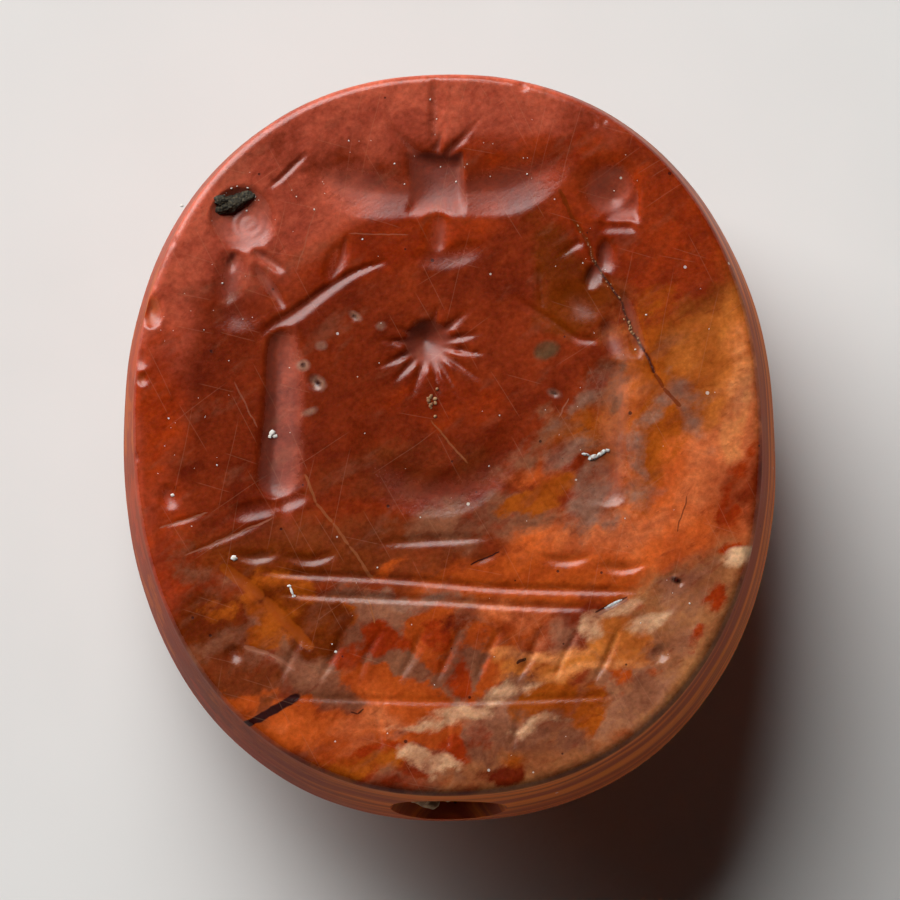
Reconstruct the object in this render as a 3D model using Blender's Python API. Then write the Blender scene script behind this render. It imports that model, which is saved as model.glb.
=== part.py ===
"""Stamp seal: one oval stone with a domed back, drilled along its length, engraved on its flat face.

The stone lies on its back with the engraved face up. +Z points out of the face, +Y to the top
of the design and +X to its right, as seen from above. The origin is on the floor, under the
middle of the stone. Run with: blender --background --python part.py
"""

import math

import bmesh
import bpy
from mathutils import Vector

MM = 0.001

# Stone: the engraved face, the side that flares out to the girth, and the domed back
FACE_LENGTH = 22.0 * MM
FACE_WIDTH = 19.1 * MM
FACE_LEAN = math.radians(2.1)
FACE_FULLNESS = 2.19
RIM_ROUND = 0.22 * MM
THICKNESS = 10.0 * MM
GIRTH_DEPTH = 5.2 * MM
SIDE_FLARE = 0.48 * MM
FLARE_FULLNESS = 1.6
BACK_FULLNESS = 2.25
REST_FLAT_WIDTH = 5.6 * MM

# Perforation for a cord, drilled along Y from both ends, so it is narrowest in the middle
BORE_BELOW_FACE = 2.95 * MM
BORE_MOUTH_RADIUS = 1.65 * MM
BORE_WAIST_RADIUS = 1.15 * MM

# Cuts of the engraver's drills: radius of each pit on the face, and its depth
HEAD_RADIUS = 1.1 * MM
HEAD_DEPTH = 0.5 * MM
STAR_RADIUS = 0.72 * MM
STAR_DEPTH = 0.5 * MM
SUN_RADIUS = 0.95 * MM
SUN_DEPTH = 0.45 * MM
BEAD_RADIUS = 0.3 * MM
BEAD_DEPTH = 0.14 * MM

# Cuts of the engraver's wheels: width of each groove on the face, and its depth
ROBE_WIDTH = 1.7 * MM
ROBE_DEPTH = 0.42 * MM
WING_WIDTH = 1.8 * MM
WING_DEPTH = 0.36 * MM
CRESCENT_WIDTH = 0.9 * MM
CRESCENT_DEPTH = 0.3 * MM
LIMB_WIDTH = 0.5 * MM
LIMB_DEPTH = 0.24 * MM
LINE_WIDTH = 0.4 * MM
LINE_DEPTH = 0.15 * MM
RAY_WIDTH = 0.3 * MM
RAY_DEPTH = 0.13 * MM

# The design is laid out on a grid of this many squares, which fills the face
GRID_ACROSS = 19.1
GRID_ALONG = 22.0

# Places of the motifs on that grid, counted from the middle of the face
SUN_AT = (-0.4, 7.75)
STAR_AT = (-0.55, 2.75)
MOON_AT = (-0.3, 0.6)
MOON_REACH = 2.6
LEFT_HEAD_AT = (-6.3, 6.7)
RIGHT_HEAD_AT = (5.0, 7.2)
GROUND_LINE_Y = -4.6
EXERGUE_LINE_Y = -8.0
EXERGUE_STROKES_X = (-2.2, 0, 2.2)
CABLE_SPACING = 1.2
BEAD_X = 6.5

# Where each ray of the star starts and ends, on the same grid, from the middle of the star
RAY_START = 0.6
RAY_END = 1.95

# Directions of the star's rays, in degrees from the right: cut by eye, so unevenly spaced
STAR_RAYS = (78, 42, 13, -10, -35, -60, -78, -108, -134, -156, 175, 152, 124)

# Counts
OUTLINE_STEPS = 96
RIM_STEPS = 2
SIDE_STEPS = 4
BACK_STEPS = 8
BORE_SIDES = 32
CABLE_STROKES = 9

# Cutters stand this far clear of the surfaces that they cut through
CLEARANCE = 0.12 * MM

STONE_COLOUR = (0.42, 0.10, 0.045, 1.0)
STONE_ROUGHNESS = 0.35


def clear_scene():
    for found in list(bpy.data.objects):
        bpy.data.objects.remove(found, do_unlink=True)


def new_object(name, bm, collection):
    bmesh.ops.recalc_face_normals(bm, faces=bm.faces)
    mesh = bpy.data.meshes.new(name)
    bm.to_mesh(mesh)
    bm.free()
    made = bpy.data.objects.new(name, mesh)
    collection.objects.link(made)
    return made


def reach(angle, half_width, half_length):
    """Distance from the middle to an oval's edge: a full ellipse that leans a little to the left."""
    turned = angle - FACE_LEAN
    across = abs(math.cos(turned) / half_width) ** FACE_FULLNESS
    along = abs(math.sin(turned) / half_length) ** FACE_FULLNESS
    return (across + along) ** (-1 / FACE_FULLNESS)


def outline_ring(bm, outset, share, z):
    """One level of the stone: the face's oval, set out by a distance and then drawn in by a share."""
    ring = []
    for step in range(OUTLINE_STEPS):
        angle = math.tau * step / OUTLINE_STEPS
        edge = reach(angle, FACE_WIDTH / 2 + outset, FACE_LENGTH / 2 + outset)
        distance = edge * share
        ring.append(bm.verts.new((distance * math.cos(angle), distance * math.sin(angle), z)))
    return ring


def side_outset(depth):
    """How far the side has flared out at this depth below the face."""
    return SIDE_FLARE * (1 - (1 - depth / GIRTH_DEPTH) ** FLARE_FULLNESS)


def stone_levels():
    """(outset, share, height) of each ring from the face down to the flat that the stone rests on."""
    levels = []
    for step in range(RIM_STEPS + 1):
        turn = math.pi / 2 * step / RIM_STEPS
        depth = RIM_ROUND * (1 - math.cos(turn))
        inset = RIM_ROUND * (1 - math.sin(turn))
        levels.append((side_outset(depth) - inset, 1, THICKNESS - depth))
    for step in range(1, SIDE_STEPS + 1):
        depth = RIM_ROUND + (GIRTH_DEPTH - RIM_ROUND) * step / SIDE_STEPS
        levels.append((side_outset(depth), 1, THICKNESS - depth))
    rest_share = REST_FLAT_WIDTH / (FACE_WIDTH + 2 * SIDE_FLARE)
    lowest = (1 - rest_share**BACK_FULLNESS) ** (1 / BACK_FULLNESS)
    last_turn = math.atan2(lowest, rest_share)
    back_height = THICKNESS - GIRTH_DEPTH
    for step in range(1, BACK_STEPS):
        turn = last_turn * step / BACK_STEPS
        across, down = math.cos(turn), math.sin(turn)
        round_out = (across**BACK_FULLNESS + down**BACK_FULLNESS) ** (-1 / BACK_FULLNESS)
        share = across * round_out
        drop = down * round_out / lowest
        levels.append((SIDE_FLARE, share, back_height * (1 - drop)))
    levels.append((SIDE_FLARE, rest_share, 0))
    return levels


def make_stone(collection):
    bm = bmesh.new()
    rings = [outline_ring(bm, *level) for level in stone_levels()]
    bm.faces.new(rings[0])
    for upper, lower in zip(rings, rings[1:]):
        for step in range(OUTLINE_STEPS):
            after = (step + 1) % OUTLINE_STEPS
            bm.faces.new((upper[step], lower[step], lower[after], upper[after]))
    bm.faces.new(reversed(rings[-1]))
    return new_object("seal_stone", bm, collection)


def make_bore_cutter(collection):
    """The perforation: two cones that meet at the waist, and run on past both ends of the stone."""
    end = FACE_LENGTH / 2 + side_outset(BORE_BELOW_FACE)
    past = 2 * BORE_MOUTH_RADIUS
    slope = (BORE_MOUTH_RADIUS - BORE_WAIST_RADIUS) / end
    bm = bmesh.new()
    rings = []
    for y in (-end - past, 0, end + past):
        radius = BORE_WAIST_RADIUS + slope * abs(y)
        ring = []
        for side in range(BORE_SIDES):
            turn = math.tau * side / BORE_SIDES
            height = THICKNESS - BORE_BELOW_FACE + radius * math.sin(turn)
            ring.append(bm.verts.new((radius * math.cos(turn), y, height)))
        rings.append(ring)
    loft(bm, rings)
    return new_object("bore_cutter", bm, collection)


def loft(bm, rings):
    """Closes a run of rings into one solid, with a flat cap at each end."""
    bm.faces.new(rings[0])
    for first, second in zip(rings, rings[1:]):
        for side in range(len(first)):
            after = (side + 1) % len(first)
            bm.faces.new((first[side], second[side], second[after], first[after]))
    bm.faces.new(reversed(rings[-1]))


def on_face(place):
    """A point of the design's grid, in metres, on the face."""
    return Vector((place[0] * FACE_WIDTH / GRID_ACROSS, place[1] * FACE_LENGTH / GRID_ALONG, THICKNESS))


def drill_pit(collection, name, place, radius, depth, stretch=1.0):
    """A pit as a ball-ended drill leaves it. stretch makes it longer along Y, where the drill was rocked."""
    ball = (radius**2 + depth**2) / (2 * depth)
    bm = bmesh.new()
    bmesh.ops.create_uvsphere(bm, u_segments=24, v_segments=16, radius=ball)
    bmesh.ops.scale(bm, verts=bm.verts, vec=(1, stretch, 1))
    bmesh.ops.translate(bm, verts=bm.verts, vec=on_face(place) + Vector((0, 0, ball - depth)))
    return new_object(name, bm, collection)


def smooth_path(places, steps):
    """Even points on a smooth curve through the places."""
    points = [on_face(place) for place in places]
    padded = [2 * points[0] - points[1], *points, 2 * points[-1] - points[-2]]
    curve = []
    for step in range(steps + 1):
        along = (len(points) - 1) * step / steps
        first = min(int(along), len(points) - 2)
        t = along - first
        a, b, c, d = padded[first : first + 4]
        bend = 2 * a - 5 * b + 4 * c - d
        twist = 3 * b - a - 3 * c + d
        curve.append((2 * b + (c - a) * t + bend * t**2 + twist * t**3) / 2)
    return curve


def wheel_cut(collection, name, places, width, depth, steps=6, sides=10, bluntness=4):
    """A groove as a round-edged wheel leaves it: deepest in the middle, rising out of the face at both ends.

    A bluntness of 2 gives a long pointed lens, and 4 a groove of nearly even width with round ends.
    """
    edge = (width**2 / 4 + depth**2) / (2 * depth)
    curve = smooth_path(places, steps)
    bm = bmesh.new()
    rings = []
    for step, centre in enumerate(curve):
        ahead = curve[min(step + 1, steps)] - curve[max(step - 1, 0)]
        across = Vector((ahead.y, -ahead.x, 0)).normalized()
        lift = (depth + CLEARANCE) * abs(2 * step / steps - 1) ** bluntness - depth
        ring = []
        for side in range(sides):
            turn = math.tau * (side + 0.5) / sides
            rise = Vector((0, 0, lift + edge * (1 - math.cos(turn))))
            ring.append(bm.verts.new(centre + across * edge * math.sin(turn) + rise))
        rings.append(ring)
    loft(bm, rings)
    return new_object(name, bm, collection)


def cut_winged_sun(cutters):
    x, y = SUN_AT
    drill_pit(cutters, "sun_disc", SUN_AT, SUN_RADIUS, SUN_DEPTH, stretch=1.1)
    left_wing = [(x - 4.0, y + 0.5), (x - 2.2, y - 0.2), (x - 0.3, y - 0.35)]
    right_wing = [(x + 0.3, y - 0.35), (x + 2.2, y - 0.05), (x + 4.2, y + 1.0)]
    for side, places in (("left", left_wing), ("right", right_wing)):
        name = f"sun_{side}_wing"
        wheel_cut(cutters, name, places, WING_WIDTH, WING_DEPTH, steps=10, sides=16, bluntness=2)
    wheel_cut(cutters, "sun_tail", [(x + 0.15, y - 0.8), (x + 0.15, y - 2.3)], LIMB_WIDTH * 1.6, LIMB_DEPTH)
    wheel_cut(cutters, "sun_tail_foot", [(x - 0.7, y - 2.4), (x + 1.6, y - 2.35)], LIMB_WIDTH, LIMB_DEPTH)
    rays = {
        "left": [(x - 1.6, y + 2.0), (x - 0.5, y + 0.85)],
        "middle": [(x, y + 2.9), (x, y + 0.95)],
        "right": [(x + 1.65, y + 2.1), (x + 0.5, y + 0.95)],
    }
    for side, places in rays.items():
        wheel_cut(cutters, "sun_ray_" + side, places, LINE_WIDTH, LINE_DEPTH)


def cut_left_figure(cutters):
    x, y = LEFT_HEAD_AT
    drill_pit(cutters, "left_head", LEFT_HEAD_AT, HEAD_RADIUS, HEAD_DEPTH)
    robe = [(x + 0.75, y - 3.3), (x + 0.75, y - 6.4), (x + 0.8, y - 9.4)]
    wheel_cut(cutters, "left_robe", robe, ROBE_WIDTH, ROBE_DEPTH, steps=10, sides=16)
    limbs = {
        "left_back": [(x - 0.2, y - 0.9), (x - 0.7, y - 2.6)],
        "left_chest": [(x + 0.3, y - 1.1), (x + 1.2, y - 3.0)],
        "left_shoulder": [(x + 0.5, y - 0.8), (x + 1.3, y - 1.8)],
        "left_belt": [(x - 1.0, y - 3.2), (x + 1.4, y - 3.2)],
        "left_arm": [(x + 0.9, y - 3.7), (x + 2.0, y - 2.9), (x + 3.3, y - 2.1), (x + 4.4, y - 1.7)],
        "left_hand": [(x + 2.6, y - 2.5), (x + 3.0, y - 1.6), (x + 3.2, y - 0.5)],
    }
    for name, places in limbs.items():
        wheel_cut(cutters, name, places, LIMB_WIDTH, LIMB_DEPTH)


def cut_right_figure(cutters):
    x, y = RIGHT_HEAD_AT
    drill_pit(cutters, "right_head", RIGHT_HEAD_AT, HEAD_RADIUS, HEAD_DEPTH)
    robe = [(x + 0.2, y - 4.4), (x + 0.3, y - 7.0), (x + 0.3, y - 9.6)]
    wheel_cut(cutters, "right_robe", robe, ROBE_WIDTH, ROBE_DEPTH, steps=10, sides=16)
    limbs = {
        "right_chest": [(x - 0.1, y - 1.0), (x - 0.5, y - 2.9)],
        "right_back": [(x + 0.5, y - 1.0), (x + 0.8, y - 3.2)],
        "right_belt": [(x - 1.0, y - 3.9), (x + 1.2, y - 3.8)],
        "right_arm": [(x - 0.4, y - 4.45), (x - 1.8, y - 3.7), (x - 3.2, y - 2.9)],
        "right_hand": [(x - 2.1, y - 3.3), (x - 1.9, y - 2.1)],
    }
    for name, places in limbs.items():
        wheel_cut(cutters, name, places, LIMB_WIDTH, LIMB_DEPTH)


def cut_star(cutters):
    drill_pit(cutters, "star_core", STAR_AT, STAR_RADIUS, STAR_DEPTH)
    for number, degrees in enumerate(STAR_RAYS, start=1):
        x, y = math.cos(math.radians(degrees)), math.sin(math.radians(degrees))
        ends = (RAY_START, RAY_END)
        places = [(STAR_AT[0] + x * far, STAR_AT[1] + y * far) for far in ends]
        name = f"star_ray_{number}"
        wheel_cut(cutters, name, places, RAY_WIDTH, RAY_DEPTH, steps=4, sides=8, bluntness=2)


def cut_crescent(cutters):
    places = []
    for degrees in range(185, 366, 20):
        x, y = math.cos(math.radians(degrees)), math.sin(math.radians(degrees))
        places.append((MOON_AT[0] + MOON_REACH * x, MOON_AT[1] + MOON_REACH * y))
    wheel_cut(cutters, "crescent", places, CRESCENT_WIDTH, CRESCENT_DEPTH, steps=18, sides=14)


def cut_ground(cutters):
    """Two long lines that the figures stand on, with short strokes for their feet."""
    y = GROUND_LINE_Y
    upper = [(-5.8, y + 0.4), (0, y + 0.1), (6.5, y - 0.2)]
    lower = [(-5.2, y - 0.3), (0, y - 0.45), (4.3, y - 0.75)]
    wheel_cut(cutters, "ground_line_upper", upper, LINE_WIDTH, LINE_DEPTH, steps=12, sides=8)
    wheel_cut(cutters, "ground_line_lower", lower, LINE_WIDTH, LINE_DEPTH, steps=12, sides=8)
    strokes = {
        "left_foot": [(-6.6, y + 0.95), (-5.1, y + 0.95)],
        "left_front_foot": [(-5.0, y + 0.85), (-3.3, y + 0.9)],
        "middle_stroke": [(-2.3, y + 1.25), (1.4, y + 1.4)],
        "right_front_foot": [(2.8, y + 0.75), (4.4, y + 0.8)],
        "right_foot": [(4.5, y + 0.6), (6.1, y + 0.65)],
    }
    for name, places in strokes.items():
        wheel_cut(cutters, name, places, LIMB_WIDTH, LINE_DEPTH)


def cut_exergue(cutters):
    """Plain ornament under the ground lines: a cable of slanting strokes, a line, and three short strokes."""
    y = EXERGUE_LINE_Y
    line = [(-5.2, y), (0, y - 0.15), (5.2, y)]
    wheel_cut(cutters, "exergue_line", line, LINE_WIDTH, LINE_DEPTH, steps=10, sides=8)
    for stroke in range(CABLE_STROKES):
        x = CABLE_SPACING * (stroke - (CABLE_STROKES - 1) / 2)
        places = [(x + 0.45, y + 2.15), (x - 0.35, y + 0.4)]
        wheel_cut(cutters, f"exergue_cable_{stroke + 1}", places, LIMB_WIDTH, LINE_DEPTH)
    for number, x in enumerate(EXERGUE_STROKES_X, start=1):
        places = [(x, y - 0.45), (x * 0.9, y - 1.6)]
        wheel_cut(cutters, f"exergue_stroke_{number}", places, LINE_WIDTH, LINE_DEPTH)
    for side, x in (("left", -BEAD_X), ("right", BEAD_X)):
        drill_pit(cutters, f"exergue_{side}_bead", (x, y + 1.3), BEAD_RADIUS, BEAD_DEPTH)


def cut_stone(stone, cutters):
    for cutter in cutters.objects:
        cutter.hide_render = True
        cutter.display_type = "WIRE"
    cut = stone.modifiers.new("bore_and_engraving", "BOOLEAN")
    cut.operation = "DIFFERENCE"
    cut.operand_type = "COLLECTION"
    cut.collection = cutters
    cut.solver = "EXACT"


def finish_stone(stone):
    polish = bpy.data.materials.new("red_jasper")
    polish.use_nodes = True
    shader = polish.node_tree.nodes["Principled BSDF"]
    shader.inputs["Base Color"].default_value = STONE_COLOUR
    shader.inputs["Roughness"].default_value = STONE_ROUGHNESS
    shader.inputs["Metallic"].default_value = 0
    stone.data.materials.append(polish)
    stone.data.shade_smooth()
    stone.data.set_sharp_from_angle(angle=math.radians(30))


def main():
    clear_scene()
    scene = bpy.context.scene.collection
    cutters = bpy.data.collections.new("cutters")
    scene.children.link(cutters)
    stone = make_stone(scene)
    make_bore_cutter(cutters)
    cut_winged_sun(cutters)
    cut_left_figure(cutters)
    cut_right_figure(cutters)
    cut_star(cutters)
    cut_crescent(cutters)
    cut_ground(cutters)
    cut_exergue(cutters)
    cut_stone(stone, cutters)
    finish_stone(stone)


if __name__ == "__main__":
    main()
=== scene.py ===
"""Stamp seal of red jasper: a flat oval face engraved with two robed figures under a winged sun, on
a domed stone that is drilled through for a cord.

The stone lies on its back, face up: +Z out of the face, +Y to the top of the design, +X to its right.
The design's places are millimetres on the face, counted from its middle.
"""

import math

import bmesh
import bpy
import numpy as np
from bpy.props import FloatProperty, FloatVectorProperty, IntProperty, PointerProperty
from mathutils import Matrix, Vector, noise


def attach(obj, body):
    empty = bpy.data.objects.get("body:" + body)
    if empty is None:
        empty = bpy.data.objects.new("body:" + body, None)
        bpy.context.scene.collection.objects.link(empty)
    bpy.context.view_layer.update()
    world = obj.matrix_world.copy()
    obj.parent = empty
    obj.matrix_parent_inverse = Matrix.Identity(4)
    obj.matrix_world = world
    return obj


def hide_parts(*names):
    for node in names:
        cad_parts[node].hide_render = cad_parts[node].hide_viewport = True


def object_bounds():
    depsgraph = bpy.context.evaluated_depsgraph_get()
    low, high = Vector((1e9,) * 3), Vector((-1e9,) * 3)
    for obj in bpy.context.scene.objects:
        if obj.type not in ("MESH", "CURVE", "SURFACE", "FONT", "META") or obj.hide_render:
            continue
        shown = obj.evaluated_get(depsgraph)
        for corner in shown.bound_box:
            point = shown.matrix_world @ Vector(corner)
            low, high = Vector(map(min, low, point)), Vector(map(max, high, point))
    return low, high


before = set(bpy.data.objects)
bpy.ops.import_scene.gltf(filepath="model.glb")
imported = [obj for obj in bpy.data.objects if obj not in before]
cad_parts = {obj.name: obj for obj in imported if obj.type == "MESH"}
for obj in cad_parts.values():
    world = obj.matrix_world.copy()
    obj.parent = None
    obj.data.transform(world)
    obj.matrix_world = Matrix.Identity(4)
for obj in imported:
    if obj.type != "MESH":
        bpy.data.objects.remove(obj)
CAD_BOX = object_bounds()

bl_info = {
    "name": "Jasper Stamp Seal",
    "version": (1, 0, 0),
    "blender": (4, 5, 0),
    "location": "3D View > Sidebar > Seal",
    "description": "Builds an engraved jasper stamp seal, its dust and its studio stage",
    "category": "Add Mesh",
}

MM = 0.001
# Name of the mesh attribute that holds how deep each point of the face is cut, in millimetres
CUT_DEPTH = "cut_depth"
FACE_HEIGHT = CAD_BOX[1].z

# Where the motifs stand on the face
SUN_AT = (-0.4, 7.75)
STAR_AT = (-0.55, 2.75)
MOON_AT = (-0.4, 0.45)
MOON_REACH = 2.3
LEFT_HEAD_AT = (-6.25, 6.58)
RIGHT_HEAD_AT = (5.0, 7.2)
GROUND_LINE_Y = -4.6
EXERGUE_LINE_Y = -8.0
EXERGUE_STROKES_X = (-2.2, 0, 2.2)
CABLE_STROKES = 9
CABLE_SPACING = 1.2
BEAD_X = 6.5

# How far the whole face lies under the solid's, in millimetres, so that grains can lie on it
SKIN = 0.03

# Tips of the star's rays, going round from the top: cut by eye, so no two are alike
STAR_TIPS = (
    (-0.25, 4.15), (0.85, 4.0), (1.2, 3.15), (1.45, 2.38), (1.3, 1.45), (0.5, 0.9), (-0.2, 1.05),
    (-1.15, 0.95), (-1.85, 1.4), (-2.35, 1.95), (-2.2, 2.9), (-1.75, 3.4), (-1.2, 3.7),
)

# The crack that runs down from the right figure's shoulder
CRACK_WAY = (
    (3.4, 7.5), (3.72, 6.8), (4.1, 6.15), (4.34, 5.74), (4.43, 5.37), (4.7, 4.95), (4.98, 4.51),
    (5.29, 4.08), (5.45, 3.6), (5.63, 3.15), (6.03, 2.48), (6.34, 1.86), (6.6, 1.4), (7.1, 0.85),
)

# A shallow gouge and a scratch near the left foot
GOUGE_WAY = ((-6.9, -4.0), (-5.6, -5.0), (-4.1, -6.6))
LOW_SCRATCH_WAY = ((-6.2, -6.5), (-5.4, -6.7), (-4.6, -7.2))


def length_property(name, description, default):
    return FloatProperty(name=name, description=description, default=default, unit="LENGTH")


def angle_property(name, description, degrees):
    default = math.radians(degrees)
    return FloatProperty(name=name, description=description, default=default, subtype="ANGLE")


def number_property(name, description, default):
    return FloatProperty(name=name, description=description, default=default)


def count_property(name, description, default):
    return IntProperty(name=name, description=description, default=default, min=8)


def colour_property(name, description, colour):
    return FloatVectorProperty(
        name=name, description=description, default=colour, size=3, min=0, max=1, subtype="COLOR",
    )


class StoneSizes(bpy.types.PropertyGroup):
    """Sizes of the stone and of the hole through it."""

    face_length: length_property("Face length", "Height of the engraved face, top to bottom", 0.022)
    face_width: length_property("Face width", "Width of the engraved face", 0.0191)
    face_lean: angle_property("Face lean", "How far the oval leans to the left", 2.1)
    face_fullness: number_property("Face fullness", "2 is an ellipse, more is squarer", 2.19)
    girth_depth: length_property(
        "Girth depth", "Depth below the face at which the stone is widest", 0.0052,
    )
    side_flare: length_property("Side flare", "How far the girth stands out past the face", 0.00048)
    flare_fullness: number_property("Flare fullness", "Roundness of the side, seen in section", 1.6)
    back_fullness: number_property("Back fullness", "Roundness of the domed back", 2.25)
    rest_flat_width: length_property(
        "Rest flat", "Width of the small flat that the back rests on", 0.0056,
    )
    rim_crisp: length_property("Crisp rim", "Rounding of the rim where it is least worn", 0.00022)
    rim_worn: length_property("Worn rim", "Rounding of the rim where it is most worn", 0.0003)
    bore_below_face: length_property(
        "Hole below face", "Depth of the hole's middle below the face", 0.00295,
    )
    bore_mouth: length_property("Hole mouth", "Radius of the hole at its ends", 0.00165)
    bore_waist: length_property("Hole waist", "Radius of the hole in the middle", 0.00115)
    bore_lip: length_property("Hole lip", "How far the cord has worn the mouths wider", 0.00022)
    unevenness: length_property(
        "Unevenness", "Depth of the hand-ground hollows of the side and back", 0.00007,
    )
    face_columns: count_property("Face columns", "Columns of the face's grid", 248)
    face_rows: count_property("Face rows", "Rows of the face's grid", 284)


class EngravingSizes(bpy.types.PropertyGroup):
    """Widths and depths of the drilled pits and wheel-cut grooves."""

    head_radius: length_property("Head radius", "Radius of each head's pit", 0.00105)
    head_depth: length_property("Head depth", "Depth of each head's pit", 0.00042)
    star_radius: length_property("Star radius", "Radius of the star's pit", 0.0008)
    star_depth: length_property("Star depth", "Depth of the star's pit", 0.00045)
    sun_radius: length_property("Sun radius", "Radius of the sun's disc", 0.00098)
    sun_depth: length_property("Sun depth", "Depth of the sun's disc", 0.00048)
    robe_width: length_property("Robe width", "Width of the trough of each robe", 0.0019)
    robe_depth: length_property("Robe depth", "Depth of the trough of each robe", 0.00023)
    wing_width: length_property("Wing width", "Width of each wing of the sun", 0.0021)
    wing_depth: length_property("Wing depth", "Depth of each wing of the sun", 0.00016)
    crescent_width: length_property("Crescent width", "Width of the crescent", 0.0015)
    crescent_depth: length_property("Crescent depth", "Depth of the crescent", 0.00009)
    limb_width: length_property("Limb width", "Width of an arm's groove", 0.0005)
    limb_depth: length_property("Limb depth", "Depth of an arm's groove", 0.00024)
    line_width: length_property("Line width", "Width of a ground line", 0.00028)
    line_depth: length_property("Line depth", "Depth of a ground line", 0.00008)
    ray_width: length_property("Ray width", "Width of a ray of the star", 0.0004)
    ray_depth: length_property("Ray depth", "Depth of a ray of the star", 0.0002)


class JasperColours(bpy.types.PropertyGroup):
    """Colours of the stone's zones and of what has settled on it."""

    brick: colour_property("Brick", "Ground colour of the stone", (0.215, 0.022, 0.004))
    # Rose is partly the stone's own pink and partly painted light: a painted sheen on the upper left
    # and top margins, and a painted highlight on the lit wall of the left robe
    rose: colour_property("Rose", "Pinkish margins", (0.40, 0.068, 0.034))
    # Deep red is also painted shade: on the upper walls of the sun's wings and on the far sides
    deep: colour_property("Deep red", "Darkest red of the middle", (0.145, 0.0125, 0.002))
    umber: colour_property("Umber", "Dark yellow-brown zones", (0.15, 0.02, 0.001))
    ochre: colour_property("Ochre", "Yellow-brown zones", (0.33, 0.060, 0.004))
    honey: colour_property("Honey", "Light yellow-brown zones", (0.48, 0.125, 0.02))
    straw: colour_property("Straw", "Pale yellow bands", (0.64, 0.21, 0.065))
    orange: colour_property("Orange", "Orange zones", (0.38, 0.054, 0.006))
    coral: colour_property("Coral", "Bright orange zones", (0.52, 0.085, 0.014))
    vermilion: colour_property("Vermilion", "Saturated red-orange islands", (0.30, 0.026, 0.002))
    # Salmon is also a painted highlight, on the lit wall of the right figure's robe
    salmon: colour_property("Salmon", "Pale orange-pink zones", (0.56, 0.13, 0.042))
    cream: colour_property("Cream", "Pale inclusions", (0.62, 0.32, 0.18))
    smoke: colour_property("Smoke", "Grey-brown drifts", (0.22, 0.068, 0.032))
    mauve: colour_property("Mauve", "Light grey-mauve drifts", (0.31, 0.108, 0.058))
    slate: colour_property("Slate", "Blue-grey smudges", (0.25, 0.105, 0.07))
    terracotta: colour_property("Terracotta", "Brown-red planes", (0.18, 0.031, 0.007))
    tan: colour_property("Tan", "Brownish margin", (0.33, 0.108, 0.037))
    plum: colour_property("Plum", "Black-purple vein and dark slits", (0.03, 0.006, 0.005))
    olive: colour_property("Olive", "Green-grey flecks", (0.105, 0.043, 0.018))
    # The side bands are partly the stone's own bands and partly painted light: they are made bright
    # where the side at the lower right stands in shade
    honey_side: colour_property("Side bands", "Golden bands of the side", (0.78, 0.16, 0.004))
    earth: colour_property("Earth", "Earth left in the hole", (0.24, 0.11, 0.045))
    residue: colour_property("Residue", "Black-green lump in the left head", (0.02, 0.018, 0.012))
    dust: colour_property("Dust", "Pale grains lying on the stone", (0.72, 0.66, 0.58))
    crust: colour_property("Crust", "Pale blue-grey crust", (0.52, 0.56, 0.54))


class StageSettings(bpy.types.PropertyGroup):
    """Floor, lights and camera."""

    floor_size: length_property("Floor size", "Side of the square floor", 1.2)
    floor_colour: colour_property("Floor colour", "Colour of the pale floor", (0.74, 0.73, 0.71))
    key_power: number_property("Key light", "Power of the key light, in watts", 8.85)
    fill_strength: number_property("Fill", "Strength of the even light all round", 1.05)
    camera_tilt: angle_property("Camera tilt", "Angle between the view and the face's normal", 5)
    camera_side: angle_property("Camera side", "How far the camera stands to the right", 0.7)
    camera_distance: length_property("Camera distance", "From the camera to the face", 0.6924)
    camera_lens: number_property("Camera lens", "Focal length in millimetres", 909)


# Shape of the stone

def edge_distance(stone, angle, outset):
    """Distance from the middle to the oval's edge, which is set out by outset. Works on arrays too."""
    turned = angle - stone.face_lean
    across = np.abs(np.cos(turned) / (stone.face_width / 2 + outset)) ** stone.face_fullness
    along = np.abs(np.sin(turned) / (stone.face_length / 2 + outset)) ** stone.face_fullness
    return (across + along) ** (-1 / stone.face_fullness)


def side_outset(stone, depth):
    return stone.side_flare * (1 - (1 - depth / stone.girth_depth) ** stone.flare_fullness)


# Direction from the middle of the face in which the rim is worn most
MOST_WORN_AT = math.radians(-62)


def rim_round(stone, angle):
    """The rim is crisp at the upper left and worn round towards the lower right."""
    worn = 0.5 + 0.5 * np.cos(angle - MOST_WORN_AT)
    return stone.rim_crisp + (stone.rim_worn - stone.rim_crisp) * worn**1.5


def smooth_way(places, steps=28):
    """Even points on a smooth curve through the places, as an array of (x, y)."""
    points = np.array(places, float)
    padded = np.vstack([2 * points[0] - points[1], points, 2 * points[-1] - points[-2]])
    along = np.linspace(0, len(points) - 1, steps + 1)
    first = np.minimum(along.astype(int), len(points) - 2)
    t = (along - first)[:, None]
    a, b, c, d = (padded[first + step] for step in range(4))
    bend = 2 * a - 5 * b + 4 * c - d
    twist = 3 * b - a - 3 * c + d
    return (2 * b + (c - a) * t + bend * t**2 + twist * t**3) / 2


def softened(level):
    """Eases a level from 0 to 1 in, so that it starts without an edge."""
    return level**1.6


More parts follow.
